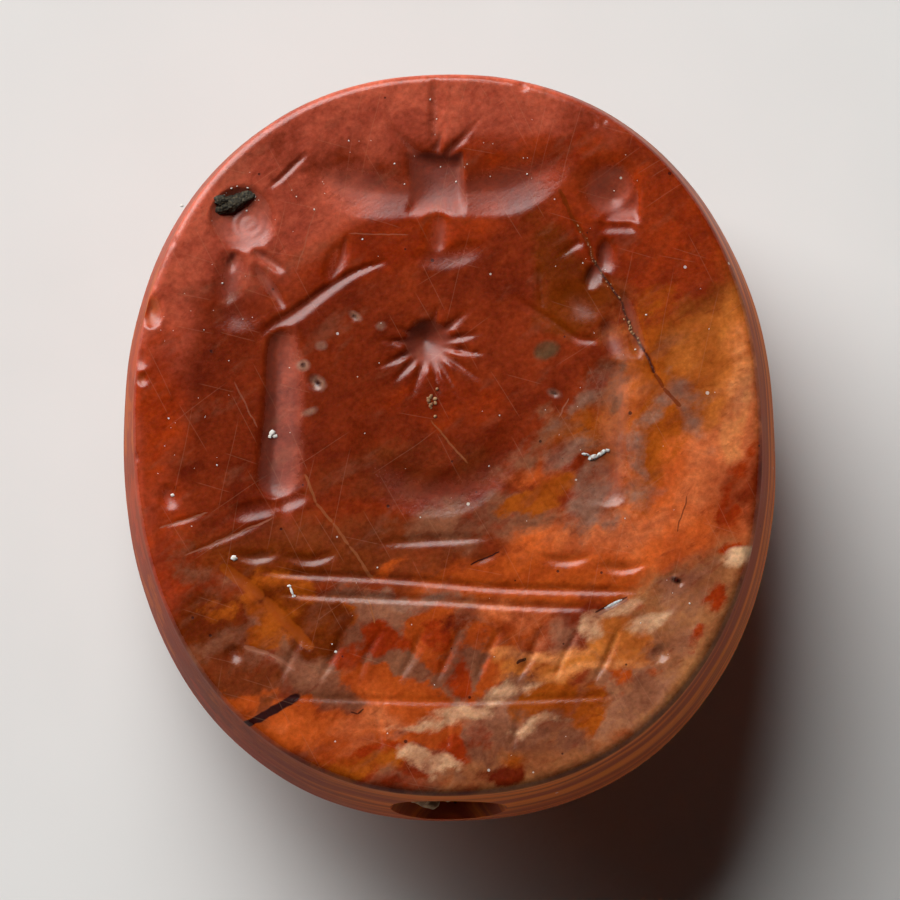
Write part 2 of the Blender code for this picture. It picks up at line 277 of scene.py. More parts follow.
class Relief:
    """How deep the face is cut, in millimetres, at each of its points."""

    RIPPLE_WAVES = 9

    def __init__(self, x, y):
        self.x = x
        self.y = y
        # The place of the motif being cut, from which its cuts are counted
        self.origin = (0, 0)
        self.depth = np.zeros_like(x)

    def placed(self, place):
        return self.origin[0] + place[0], self.origin[1] + place[1]

    def within(self, low, high):
        return (self.x > low[0]) & (self.x < high[0]) & (self.y > low[1]) & (self.y < high[1])

    def deepen(self, near, cut):
        self.depth[near] = np.maximum(self.depth[near], cut)

    def pit(
        self, place, radius, depth, stretch=1.0, turn=0.0, fullness=1.4, shift=(0.0, 0.0), soft=False,
    ):
        """A drilled pit. stretch makes it an oval, longer along the turned Y.

        shift moves its lowest point off the middle, in radii. Its walls are straight at a fullness
        of 1. A soft pit has no edge where it starts.
        """
        c, s = math.cos(math.radians(turn)), math.sin(math.radians(turn))
        x, y = self.placed(place)
        dx, dy = (self.x - x) / radius, (self.y - y) / radius
        across, along = dx * c + dy * s - shift[0], (dy * c - dx * s) / stretch - shift[1]
        squared = across**2 + along**2
        lean = across * shift[0] + along * shift[1]
        room = 1 - shift[0] ** 2 - shift[1] ** 2
        out = squared / np.maximum(np.sqrt(lean**2 + squared * room) - lean, 1e-9)
        near = out < 1
        level = 1 - out[near] ** fullness
        self.deepen(near, depth * (softened(level) if soft else level))

    def rings(self, place, radius, pitch, height):
        """Fine circles that a drill leaves on the floor of its pit."""
        x, y = self.placed(place)
        out = np.hypot(self.x - x, self.y - y)
        near = out < radius
        fade = 1 - (out[near] / radius) ** 4
        self.depth[near] += height * fade * np.cos(out[near] * math.tau / pitch)

    def groove(
        self, places, width, depth, bluntness=4.0, lean=0.0, taper=1.0, fullness=1.3, soft=False,
    ):
        """A wheel-cut groove: its walls are flat facets at a fullness of 1, and round at 2.

        lean moves its deepest line to the left of its way, or to the right below 0. taper is its
        width at the end over that at the start. A soft groove has no edge on its left.
        """
        way = smooth_way([self.placed(place) for place in places])
        reach = width / 2 * max(1, taper)
        low, high = way.min(axis=0) - reach, way.max(axis=0) + reach
        near = self.within(low, high)
        px, py = self.x[near], self.y[near]
        gap = np.full(px.shape, np.inf)
        share = np.zeros(px.shape)
        side = np.zeros(px.shape)
        for step, (start, end) in enumerate(zip(way, way[1:])):
            run = end - start
            t = ((px - start[0]) * run[0] + (py - start[1]) * run[1]) / (run @ run)
            t = np.clip(t, 0, 1)
            dx, dy = px - start[0] - t * run[0], py - start[1] - t * run[1]
            distance = np.hypot(dx, dy)
            closer = distance < gap
            gap[closer] = distance[closer]
            share[closer] = (step + t[closer]) / (len(way) - 1)
            side[closer] = np.sign(run[0] * dy - run[1] * dx)[closer]
        fade = 1 - np.abs(2 * share - 1) ** bluntness
        half = np.maximum(width / 2 * np.sqrt(fade) * (1 + (taper - 1) * share), 1e-6)
        across = side * gap / half
        rise = np.where(across > lean, (across - lean) / (1 - lean), (lean - across) / (1 + lean))
        level = np.clip(1 - rise**fullness, 0, None)
        if soft:
            level = np.where(across > lean, softened(level), level)
        self.deepen(near, depth * fade * level)

    def wedge(self, start, tip, width, depth):
        """A V cut that is widest at its start and runs out at its tip."""
        start, tip = self.placed(start), self.placed(tip)
        run_x, run_y = tip[0] - start[0], tip[1] - start[1]
        length = math.hypot(run_x, run_y)
        dx, dy = self.x - start[0], self.y - start[1]
        along = (dx * run_x + dy * run_y) / length**2
        near = (along > 0) & (along < 1)
        left = 1 - along[near]
        across = np.abs(dy[near] * run_x - dx[near] * run_y) / length / (width / 2 * left)
        self.deepen(near, depth * left * np.clip(1 - across, 0, None))

    def facets(self, low, high, depth, rises):
        """A squarish cut. rises are its left, right, lower and upper wall's share of its box.

        Its upper wall has no edge where it starts, and its creases are soft.
        """
        low, high = self.placed(low), self.placed(high)
        near = self.within(low, high)
        across = (self.x[near] - low[0]) / (high[0] - low[0])
        along = (self.y[near] - low[1]) / (high[1] - low[1])
        walls = np.array([across, 1 - across, along, 1 - along]) / np.array(rises)[:, None]
        walls = np.clip(walls, 0.001, 1)
        walls[3] = np.maximum(softened(walls[3]), 0.001)
        level = np.mean(walls**-4, axis=0) ** -0.25
        self.deepen(near, depth * np.sin(np.clip(level, 0, 1) * math.pi / 2))

    def ripple(self, size, height, seed):
        """Low waves that polishing leaves, never above the face."""
        draw = np.random.default_rng(seed)
        waves = np.zeros_like(self.x)
        for _ in range(self.RIPPLE_WAVES):
            turn, phase = draw.uniform(0, math.tau, 2)
            length = size * draw.uniform(0.7, 1.6)
            along = self.x * math.cos(turn) + self.y * math.sin(turn)
            waves += np.sin(along * math.tau / length + phase)
        self.depth += height * (0.5 + waves / self.RIPPLE_WAVES * 0.75)


def engrave_winged_sun(relief, cut):
    limb, deep = cut.limb_width / MM, cut.limb_depth / MM
    line, shallow = cut.line_width / MM, cut.line_depth / MM
    wing = dict(
        width=cut.wing_width / MM, depth=cut.wing_depth / MM, bluntness=1.8, lean=-0.15, soft=True,
    )
    relief.groove([(-3.9, 0.7), (-2.7, 0.05), (-1.3, -0.2), (1.0, -0.25)], **wing)
    relief.groove([(-1.1, -0.3), (1.5, -0.15), (2.9, 0.25), (4.2, 1.1)], **wing)
    disc = cut.sun_radius / MM
    low, high = (-disc * 0.95, -disc * 1.1), (disc * 0.93, disc * 1.05)
    relief.facets(low, high, cut.sun_depth / MM * 0.66, (0.8, 0.1, 0.85, 0.3))
    relief.groove([(0.1, -0.9), (0, -2.3)], limb * 1.8, deep * 0.5, lean=0.3, fullness=1.4)
    foot = [(-0.7, -2.35), (0.5, -2.3), (1.5, -2.0)]
    relief.groove(foot, limb * 1.6, deep * 0.3, lean=0.2, fullness=1.5, bluntness=3)
    relief.wedge((-0.5, 0.75), (-1.75, 2.1), line * 2.2, shallow * 1.8)
    relief.groove([(0.05, 3.15), (0.05, 0.95)], line * 1.7, shallow, lean=-0.3)
    relief.wedge((0.05, 0.9), (0.37, 1.95), line * 1.5, shallow * 2.3)
    relief.wedge((0.4, 0.8), (1.5, 2.05), line * 1.7, shallow * 2.1)


def engrave_left_figure(relief, cut):
    limb, deep = cut.limb_width / MM, cut.limb_depth / MM
    relief.pit((0, 0), cut.head_radius / MM, cut.head_depth / MM, fullness=1.5, shift=(-0.2, 0.35))
    relief.rings((0.2, -0.1), radius=0.85, pitch=0.27, height=0.012)
    relief.groove([(-0.1, -0.9), (-0.35, -1.7), (-0.5, -2.8)], limb * 2.2, deep * 0.5)
    relief.pit((-0.3, -1.42), 0.24, deep * 0.95, stretch=2.0, turn=-10, shift=(-0.3, 0.3))
    relief.groove([(0.2, -0.9), (1.3, -1.6)], limb * 0.8, deep * 0.6, lean=0.3, bluntness=3)
    relief.groove([(0.25, -1.3), (1.35, -2.8)], limb * 1.15, deep * 0.65, lean=0.2, bluntness=2.5)
    relief.pit((-0.2, -2.75), 0.8, deep * 0.35, stretch=1.25, turn=90, shift=(-0.25, 0.1), soft=True)
    robe = [(1.3, -3.3), (1.32, -6.0), (1.15, -8.6)]
    width, depth = cut.robe_width / MM, cut.robe_depth / MM
    relief.groove(robe, width * 0.66, depth, bluntness=10, lean=-0.4, taper=1.45)
    relief.groove([(-0.4, -9.05), (1.1, -8.75)], limb * 1.3, deep * 0.3, fullness=1.6, bluntness=3)
    relief.groove([(1.0, -8.8), (2.0, -8.35)], limb * 1.2, deep * 0.35, fullness=1.6, bluntness=3)
    arm = [(0.55, -3.5), (1.6, -2.9), (2.6, -2.15), (3.5, -1.6), (4.5, -1.25)]
    relief.groove(arm, limb * 1.25, deep * 0.46, lean=0.25, taper=0.2, fullness=1.2, bluntness=5)
    hand = [(3.2, -0.4), (3.05, -1.2), (2.6, -2.15)]
    relief.groove(hand, limb * 0.6, deep * 0.5, lean=-0.3, bluntness=2.5)
    relief.groove([(2.95, -0.7), (2.6, -2.0)], limb * 1.3, deep * 0.35)
    band = [(0.75, 0.95), (1.15, 1.25), (1.65, 1.75), (2.05, 2.1)]
    relief.groove(band, limb * 0.45, deep * 0.35, bluntness=2)


def engrave_right_figure(relief, cut):
    limb, deep = cut.limb_width / MM, cut.limb_depth / MM
    radius, depth = cut.head_radius / MM * 0.9, cut.head_depth / MM
    relief.pit((-0.1, 0.4), radius * 1.15, depth * 0.75, shift=(0.15, -0.35), soft=True)
    relief.facets((-0.35, -0.75), (0.85, 0.6), depth * 0.5, (0.8, 0.12, 0.6, 0.8))
    relief.facets((-0.4, -1.05), (0.75, -0.7), deep * 0.28, (0.4, 0.2, 0.7, 0.3))
    relief.groove([(-0.1, -1.2), (-0.2, -2.3)], limb * 1.3, deep * 0.75, bluntness=2.5, lean=-0.3)
    relief.groove([(-0.3, -1.9), (-0.75, -2.8)], limb * 1.1, deep * 0.7, bluntness=2.5, lean=-0.3)
    relief.wedge((-0.95, -1.3), (-1.85, -1.95), limb * 0.5, deep * 0.5)
    relief.pit((-0.95, -3.15), 0.7, deep * 0.4, stretch=1.4, turn=75, shift=(-0.1, 0.1), soft=True)
    relief.groove([(0.35, -3.2), (0.75, -4.1)], limb * 1.3, deep * 0.3, fullness=1.6, bluntness=2.5)
    sleeve = [(-3.0, -3.0), (-1.9, -3.7), (-1.1, -4.25), (-0.3, -4.35)]
    relief.groove(sleeve, limb * 0.6, deep * 0.3)
    relief.groove([(-2.2, -2.0), (-2.1, -3.4)], limb * 0.4, deep * 0.25)
    relief.groove([(0.25, -2.8), (0.6, -3.9), (0.9, -4.9)], limb * 1.5, deep * 0.6, lean=0.3)
    robe = [(-0.1, -4.9), (-0.1, -7.4), (-0.35, -9.4)]
    width, depth = cut.robe_width / MM, cut.robe_depth / MM
    relief.groove(robe, width * 0.9, depth * 0.6, bluntness=10, lean=0.35, fullness=1.2)
    relief.pit((0.15, -4.35), 0.6, deep * 0.75, stretch=1.5, turn=15, shift=(-0.3, 0.35), soft=True)


def engrave_star_and_crescent(relief, cut):
    radius = cut.star_radius / MM
    relief.pit(STAR_AT, radius, cut.star_depth / MM, fullness=1.2, shift=(-0.2, 0.25))
    middle = Vector(STAR_AT)
    for tip in STAR_TIPS:
        start = middle + (Vector(tip) - middle).normalized() * radius * 0.5
        relief.wedge(start, tip, cut.ray_width / MM, cut.ray_depth / MM)
    arc = []
    for degrees in range(180, 366, 20):
        turn = math.radians(degrees)
        across, along = MOON_REACH * math.cos(turn), MOON_REACH * math.sin(turn)
        arc.append((MOON_AT[0] + across, MOON_AT[1] + along))
    relief.groove(arc, cut.crescent_width / MM, cut.crescent_depth / MM, bluntness=2.2, fullness=1.7)


def engrave_ground(relief, cut):
    """Two long lines that the figures stand on, with short strokes for their feet."""
    line, shallow = cut.line_width / MM, cut.line_depth / MM
    long_line = dict(width=line, depth=shallow, bluntness=12, lean=-0.35)
    relief.groove([(-5.8, 0.4), (-2, 0.22), (0, 0.05), (2, -0.1), (6.0, -0.2)], **long_line)
    relief.groove([(-5.2, -0.25), (-2, -0.4), (0, -0.48), (2, -0.62), (4.3, -0.7)], **long_line)
    feet = (
        [(-6.6, 0.97), (-5.9, 0.85), (-5.1, 0.97)],
        [(-5.0, 0.95), (-4.2, 0.78), (-3.3, 1.0)],
        [(-2.3, 1.25), (-0.4, 1.4), (1.4, 1.45)],
        [(2.7, 0.9), (3.5, 0.75), (4.4, 0.85)],
        [(4.4, 0.65), (5.3, 0.5), (6.1, 0.65)],
    )
    for foot in feet:
        relief.groove(foot, line * 1.4, shallow, bluntness=2, lean=-0.3)


def engrave_exergue(relief, cut):
    """Plain ornament under the ground lines: slanting strokes, a line and three short strokes."""
    line, shallow = cut.line_width / MM, cut.line_depth / MM
    limb = cut.limb_width / MM
    baseline = [(-5.2, 0), (0, -0.15), (5.2, 0)]
    relief.groove(baseline, line * 0.8, shallow * 0.55, bluntness=10, lean=-0.3)
    for stroke in range(CABLE_STROKES):
        x = CABLE_SPACING * (stroke - (CABLE_STROKES - 1) / 2)
        bow = 0.12 * math.sin(stroke * 2.4)
        places = [(x + 0.45, 2.15), (x + 0.1 + bow, 1.3), (x - 0.35, 0.4)]
        relief.groove(places, limb * (0.5 + bow), shallow * 0.9, bluntness=3, lean=-0.2)
    for x in EXERGUE_STROKES_X:
        relief.groove([(x, -0.45), (x * 0.9, -1.6)], line, shallow * 0.7, bluntness=3, lean=0.25)
    for x in (-BEAD_X, BEAD_X):
        relief.pit((x, 1.3), radius=0.3, depth=0.1)


# Chips in the rim and small holes in the face: middle, radius, depth, stretch, turn in degrees
CHIPS = (
    ((-9.1, 3.85), 0.42, 0.3, 1.5, 14), ((-9.35, 2.3), 0.22, 0.12, 1.6, 0),
    ((-9.3, 1.7), 0.2, 0.1, 1.2, 0), ((-8.5, 6.0), 0.22, 0.1, 1.3, 30),
    ((-9.55, -0.7), 0.2, 0.1, 1.0, 0), ((2.3, 10.7), 0.22, 0.1, 1.0, 0),
    ((-8.0, -7.1), 0.2, 0.05, 1.3, 35), ((7.1, -4.55), 0.12, 0.07, 1.0, 0),
    ((-8.5, -1.9), 0.36, 0.12, 1.2, 20), ((-4.42, 2.15), 0.14, 0.06, 1.2, 0),
    ((-4.05, 1.6), 0.19, 0.1, 1.5, 40), ((-2.85, 3.6), 0.11, 0.06, 1.6, 60),
    ((3.25, 1.25), 0.12, 0.06, 1.4, 60), ((6.85, -4.3), 0.09, 0.05, 1.0, 0),
)

# Scratches deep enough to feel
SCRATCH_WAYS = (
    ((-8.0, -3.7), (-5.3, -2.55)), ((-8.8, -2.85), (-7.3, -2.4)), ((0.7, -4.0), (1.6, -3.6)),
    ((4.6, -5.4), (5.5, -4.95)), ((-0.5, 0.4), (0.6, -0.9)), ((4.5, 10.05), (4.85, 9.75), (4.6, 9.4)),
    ((4.2, 9.9), (4.5, 9.6), (4.35, 9.3)),
)


def wear_face(relief):
    """What use and burial did: the crack, chips in the rim, deep scratches and low waves."""
    relief.groove(CRACK_WAY, 0.2, 0.1, bluntness=4)
    relief.groove(GOUGE_WAY, 0.55, 0.05, bluntness=8, fullness=1.6)
    relief.groove(LOW_SCRATCH_WAY, 0.2, 0.04, bluntness=3)
    for place, radius, depth, stretch, turn in CHIPS:
        relief.pit(place, radius, depth, stretch=stretch, turn=turn, fullness=1.5)
    for way in SCRATCH_WAYS:
        relief.groove(way, width=0.16, depth=0.05, bluntness=2)
    relief.depth += SKIN
    relief.ripple(size=5.0, height=0.02, seed=3)
    relief.ripple(size=1.7, height=0.006, seed=8)


# The motifs that are counted from a place of their own, and that place
MOTIFS = (
    (SUN_AT, engrave_winged_sun),
    (LEFT_HEAD_AT, engrave_left_figure),
    (RIGHT_HEAD_AT, engrave_right_figure),
    ((0, GROUND_LINE_Y), engrave_ground),
    ((0, EXERGUE_LINE_Y), engrave_exergue),
)


def face_relief(x, y, cut):
    """Depth of the whole design at each point, in metres."""
    relief = Relief(x / MM, y / MM)
    engrave_star_and_crescent(relief, cut)
    for place, engrave in MOTIFS:
        relief.origin = place
        engrave(relief, cut)
    relief.origin = (0, 0)
    wear_face(relief)
    return relief.depth * MM


def coordinates(verts):
    return np.array([vert.co for vert in verts])


def place_verts(verts, places):
    for vert, place in zip(verts, places):
        vert.co = place


RIM_STEPS = 6
SIDE_STEPS = 10
BACK_STEPS = 20
SIDE_POINTS = 288
# Size of the hollows that grinding left in the side and back, in millimetres
HOLLOW_SIZE = 2.6


def make_face(bm, stone, cut):
    """The engraved face: a fine grid, pulled to the oval inside the rim's rounding, then cut."""
    layer = bm.verts.layers.float.new(CUT_DEPTH)
    bmesh.ops.create_grid(bm, x_segments=stone.face_columns, y_segments=stone.face_rows, size=1)
    verts = list(bm.verts)
    u, v = coordinates(verts)[:, :2].T
    across, along = u * np.sqrt(1 - v**2 / 2), v * np.sqrt(1 - u**2 / 2)
    angle = np.arctan2(along, across)
    distance = np.hypot(across, along) * edge_distance(stone, angle, -rim_round(stone, angle))
    x, y = distance * np.cos(angle), distance * np.sin(angle)
    depth = face_relief(x, y, cut)
    place_verts(verts, np.column_stack([x, y, FACE_HEIGHT - depth]))
    bmesh.ops.smooth_vert(bm, verts=verts, factor=0.5, use_axis_z=True)
    for vert, deep in zip(verts, depth):
        vert[layer] = deep / MM


def rim_ring(stone, cut, points, turn):
    """One level of the rounded rim: turn goes from 0 at the face to a quarter turn at the side."""
    angle = np.arctan2(points[:, 1], points[:, 0])
    rounding = rim_round(stone, angle)
    depth = rounding * (1 - math.cos(turn))
    distance = edge_distance(stone, angle, side_outset(stone, depth) - rounding * (1 - math.sin(turn)))
    x, y = distance * np.cos(angle), distance * np.sin(angle)
    chipped = face_relief(x, y, cut) * math.cos(turn)
    return np.column_stack([x, y, FACE_HEIGHT - depth - chipped])


def side_ring(stone, angle, outset, share, z):
    """One level of the side or back, hollowed a little as hand grinding leaves it."""
    distance = edge_distance(stone, angle, outset) * share
    x, y = distance * np.cos(angle), distance * np.sin(angle)
    points = np.column_stack([x, y, np.full(len(angle), z)])
    hollow = [0.5 + 0.5 * noise.noise(Vector(point) / (HOLLOW_SIZE * MM)) for point in points]
    drawn_in = 1 - stone.unevenness * np.array(hollow) / np.maximum(distance, stone.unevenness)
    points[:, :2] *= drawn_in[:, None]
    return points


def extrude_ring(bm, edges):
    made = bmesh.ops.extrude_edge_only(bm, edges=edges)["geom"]
    verts = [item for item in made if isinstance(item, bmesh.types.BMVert)]
    ring = set(verts)
    edges = [
        item for item in made
        if isinstance(item, bmesh.types.BMEdge) and item.verts[0] in ring and item.verts[1] in ring
    ]
    return verts, edges


def make_rim(bm, stone, cut):
    edges = [edge for edge in bm.edges if edge.is_boundary]
    for step in range(1, RIM_STEPS + 1):
        verts, edges = extrude_ring(bm, edges)
        place_verts(verts, rim_ring(stone, cut, coordinates(verts), math.pi / 2 * step / RIM_STEPS))
    return edges


def back_levels(stone):
    """(outset, share, height) of the rings from under the rim down to the flat of the back."""
    levels = []
    start = stone.rim_worn * 1.25
    for step in range(SIDE_STEPS + 1):
        depth = start + (stone.girth_depth - start) * step / SIDE_STEPS
        levels.append((side_outset(stone, depth), 1, FACE_HEIGHT - depth))
    rest_share = stone.rest_flat_width / (stone.face_width + 2 * stone.side_flare)
    fullness = stone.back_fullness
    lowest = (1 - rest_share**fullness) ** (1 / fullness)
    last_turn = math.atan2(lowest, rest_share)
    for step in range(1, BACK_STEPS + 1):
        turn = last_turn * step / BACK_STEPS
        across, down = math.cos(turn), math.sin(turn)
        round_out = (across**fullness + down**fullness) ** (-1 / fullness)
        height = (FACE_HEIGHT - stone.girth_depth) * (1 - down * round_out / lowest)
        levels.append((stone.side_flare, across * round_out, max(height, 0)))
    return levels


def make_side_and_back(bm, stone, rim_edges):
    levels = back_levels(stone)
    verts = bmesh.ops.create_circle(bm, segments=SIDE_POINTS, radius=1)["verts"]
    angle = np.arctan2(*coordinates(verts)[:, 1::-1].T)
    place_verts(verts, side_ring(stone, angle, *levels[0]))
    ring = set(verts)
    edges = list({edge for vert in verts for edge in vert.link_edges if ring.issuperset(edge.verts)})
    bmesh.ops.bridge_loops(bm, edges=rim_edges + edges)
    for level in levels[1:]:
        verts, edges = extrude_ring(bm, edges)
        angle = np.arctan2(*coordinates(verts)[:, 1::-1].T)
        place_verts(verts, side_ring(stone, angle, *level))
    bmesh.ops.holes_fill(bm, edges=edges, sides=0)


def make_bore_cutter(stone):
    """The hole, drilled from both ends: narrow in the middle, ringed inside and worn at its mouths."""
    end = stone.face_length / 2 + side_outset(stone, stone.bore_below_face)
    past = stone.bore_mouth
    slope = (stone.bore_mouth - stone.bore_waist) / end
    middle = FACE_HEIGHT - stone.bore_below_face
    ring_pitch, ring_depth, lip_length = 0.55 * MM, 0.02 * MM, 0.4 * MM
    steps_along, steps_round = 120, 48
    bm = bmesh.new()
    profile = [bm.verts.new((0, -end - past, middle))]
    for y in np.linspace(-end - past, end + past, steps_along + 1):
        inside = max(end - abs(y), 0)
        radius = stone.bore_waist + slope * abs(y) + ring_depth * math.sin(math.tau * y / ring_pitch)
        radius += stone.bore_lip * math.exp(-inside / lip_length)
        profile.append(bm.verts.new((0, y, middle + radius)))
    profile.append(bm.verts.new((0, end + past, middle)))
    edges = [bm.edges.new(pair) for pair in zip(profile, profile[1:])]
    bmesh.ops.spin(
        bm, geom=profile + edges, axis=(0, 1, 0), cent=(0, 0, middle), angle=math.tau,
        steps=steps_round, use_merge=True,
    )
    bmesh.ops.remove_doubles(bm, verts=bm.verts, dist=1e-7)
    return finished("bore_cutter", bm)


def finished(name, bm, material=None):
    """A new object from the bmesh, shaded smooth."""
    bmesh.ops.recalc_face_normals(bm, faces=bm.faces)
    mesh = bpy.data.meshes.new(name)
    bm.to_mesh(mesh)
    bm.free()
    mesh.shade_smooth()
    made = bpy.data.objects.new(name, mesh)
    bpy.context.scene.collection.objects.link(made)
    if material:
        mesh.materials.append(material)
    return made


def cut_away(piece, cutter):
    """Cuts the cutter out of the piece and removes it."""
    cut = piece.modifiers.new("cut", "BOOLEAN")
    cut.operation = "DIFFERENCE"
    cut.object = cutter
    cut.solver = "EXACT"
    bpy.context.view_layer.update()
    graph = bpy.context.evaluated_depsgraph_get()
    mesh = bpy.data.meshes.new_from_object(piece.evaluated_get(graph))
    piece.modifiers.remove(cut)
    piece.data = mesh
    bpy.data.objects.remove(cutter)


# What has settled on the stone: each lump is its middle, half length, half width and turn in degrees
DUST_LUMPS = (
    (-5.35, 0.05, 0.12, 0.08, 40), (-5.26, -0.04, 0.08, 0.06, 0), (-5.42, -0.06, 0.06, 0.05, 0),
    (-6.5, -3.78, 0.1, 0.08, 0), (-4.75, -4.78, 0.16, 0.035, -70), (-4.68, -4.95, 0.06, 0.04, 20),
    (-4.82, -4.64, 0.06, 0.04, 0), (-8.38, -1.85, 0.06, 0.05, 0), (-3.4, -6.65, 0.05, 0.04, 0),
    (-8.1, 7.0, 0.05, 0.04, 0),
)
PALE_BLUE_LUMPS = (
    (4.45, -0.72, 0.16, 0.08, 15), (4.68, -0.6, 0.18, 0.07, 35), (4.88, -0.5, 0.07, 0.05, 0),
    (4.2, -0.62, 0.14, 0.04, -10), (5.05, -5.2, 0.4, 0.05, 28),
)
RESIDUE_LUMPS = (
    (-6.75, 7.05, 0.42, 0.27, 10), (-6.4, 7.2, 0.4, 0.24, 25), (-6.1, 7.33, 0.26, 0.17, 30),
    (-6.95, 7.2, 0.22, 0.16, 0),
)
DUST_COUNT = 70
MARGIN_DUST_COUNT = 45
HEAD_DUST_COUNT = 14
CRACK_GRAIN_COUNT = 75
# Where the grains in the crack gather, from 0 at its top to 1 at its foot
CRACK_GRAIN_RUNS = (0.19, 0.31, 0.46, 0.68)
UNDER_STAR_GRAIN_COUNT = 16
BORE_LUMP_COUNT = 26


def add_grain(bm, place, half_sizes, turn, seed, subdivisions=2):
    """A crumbly lump: a sphere that a noise pushes in and out. It stays under the top of the solid."""
    c, s = math.cos(turn), math.sin(turn)
    offset = Vector((seed * 3.7, seed * 1.3, 0))
    for vert in bmesh.ops.create_icosphere(bm, subdivisions=subdivisions, radius=1)["verts"]:
        bulge, pit = noise.noise(vert.co * 1.3 + offset), noise.noise(vert.co * 3.9 + offset)
        x, y, z = vert.co * (1 + 0.32 * bulge + 0.16 * pit)
        x, y, z = x * half_sizes[0], y * half_sizes[1], z * half_sizes[2]
        top = min(place[2] + z, FACE_HEIGHT)
        vert.co = (place[0] + x * c - y * s, place[1] + x * s + y * c, top)


def settle(bm, lumps, thickness, cut, subdivisions):
    """Lays flat lumps on the face. thickness is a lump's height over its half width."""
    x, y, *_ = np.array(lumps).T * MM
    surface = FACE_HEIGHT - face_relief(x, y, cut)
    for seed, (x, y, half_length, half_width, turn) in enumerate(lumps):
        height = half_width * thickness * MM
        z = min(surface[seed] + height * 0.3, FACE_HEIGHT - height)
        sizes = (half_length * MM, half_width * MM, height)
        add_grain(bm, (x * MM, y * MM, z), sizes, math.radians(turn), seed, subdivisions)


def scattered_grains(stone):
    """Specks of dust all over the face, and more near its upper left margin and the left head."""
    draw = np.random.default_rng(11)
    grains = []
    for index in range(DUST_COUNT + MARGIN_DUST_COUNT):
        angle = draw.uniform(0, math.tau)
        share = math.sqrt(draw.uniform(0, 1)) * 0.97
        if index >= DUST_COUNT:
            angle = math.radians(draw.uniform(70, 190))
            share = draw.uniform(0.72, 0.985)
        reach = float(edge_distance(stone, angle, -stone.rim_worn)) / MM * share
        size = 0.012 + 0.026 * draw.uniform(0, 1) ** 2.5
        x, y = reach * math.cos(angle), reach * math.sin(angle)
        grains.append((x, y, size, size * 0.8, draw.uniform(0, 180)))
    for _ in range(HEAD_DUST_COUNT):
        x = LEFT_HEAD_AT[0] - 0.1 + draw.normal(0, 0.45)
        y = LEFT_HEAD_AT[1] + 0.7 + draw.normal(0, 0.25)
        size = draw.uniform(0.015, 0.04)
        grains.append((x, y, size, size * 0.8, 0))
    return grains


def crack_grains():
    """Grains gathered at a few places along the crack, and some under the star."""
    draw = np.random.default_rng(4)
    steps = 60
    way = smooth_way(CRACK_WAY, steps)
    grains = []
    for _ in range(CRACK_GRAIN_COUNT):
        run = CRACK_GRAIN_RUNS[draw.integers(len(CRACK_GRAIN_RUNS))] + draw.normal(0, 0.04)
        x, y = way[int(steps * np.clip(run, 0, 0.9))] + draw.normal(0, 0.03, 2)
        size = 0.012 + 0.045 * draw.uniform(0, 1) ** 1.8
        grains.append((x, y, size, size * draw.uniform(0.5, 0.9), draw.uniform(0, 180)))
    for _ in range(UNDER_STAR_GRAIN_COUNT):
        x, y = draw.normal(-0.48, 0.09), draw.normal(1.0, 0.16)
        size = draw.uniform(0.02, 0.07)
        grains.append((x, y, size, size * 0.8, draw.uniform(0, 180)))
    return grains


def make_bore_earth(bm, stone):
    """Earth that still fills the left of the hole's mouth at the foot of the face."""
    draw = np.random.default_rng(9)
    middle = FACE_HEIGHT - stone.bore_below_face
    mouth = -stone.face_length / 2
    for seed in range(BORE_LUMP_COUNT):
        angle, share = math.radians(draw.uniform(95, 285)), draw.uniform(0.45, 0.8)
        size = draw.uniform(0.25, 0.5) * MM
        reach = (stone.bore_mouth - size * 0.6) * share
        y = mouth + draw.uniform(0.2, 1.7) * MM
        place = (reach * math.cos(angle), y, middle + reach * math.sin(angle))
        add_grain(bm, place, (size, size, size), 0, seed, 3)


# Materials

def add_node(tree, kind, **settings):
    made = tree.nodes.new(kind)
    for name, value in settings.items():
        setattr(made, name, value)
    return made


def feed(tree, socket, value):
    """Links an output to the socket, or sets the socket's own value."""
    if isinstance(value, bpy.types.NodeSocket):
        tree.links.new(value, socket)
    else:
        socket.default_value = value


def set_inputs(node, **values):
    """Sets the node's own values. An underscore in a name stands for a space."""
    for name, value in values.items():
        node.inputs[name.replace("_", " ")].default_value = value


def attribute(tree, name):
    return add_node(tree, "ShaderNodeAttribute", attribute_name=name).outputs["Fac"]


def calculate(tree, operation, *values):
    made = add_node(tree, "ShaderNodeMath", operation=operation)
    for socket, value in zip(made.inputs, values):
        feed(tree, socket, value)
    return made.outputs[0]


def times(tree, first, second):
    return calculate(tree, "MULTIPLY", first, second)


def vector_math(tree, operation, *values):
    made = add_node(tree, "ShaderNodeVectorMath", operation=operation)
    for socket, value in zip(made.inputs, values):
        feed(tree, socket, value)
    return made.outputs["Value" if operation == "DOT_PRODUCT" else "Vector"]


def blend(tree, share, first, second, mode="MIX"):
    """Mixes two colours."""
    made = add_node(tree, "ShaderNodeMix", data_type="RGBA", blend_type=mode)
    for socket, value in zip((made.inputs[0], made.inputs[6], made.inputs[7]), (share, first, second)):
        feed(tree, socket, value)
    return made.outputs[2]


def ramp(tree, value, low, high, to_low=0.0, to_high=1.0, smooth=True):
    kind = "SMOOTHSTEP" if smooth else "LINEAR"
    made = add_node(tree, "ShaderNodeMapRange", interpolation_type=kind)
    for socket, number in zip(made.inputs, (value, low, high, to_low, to_high)):
        feed(tree, socket, number)
    return made.outputs[0]


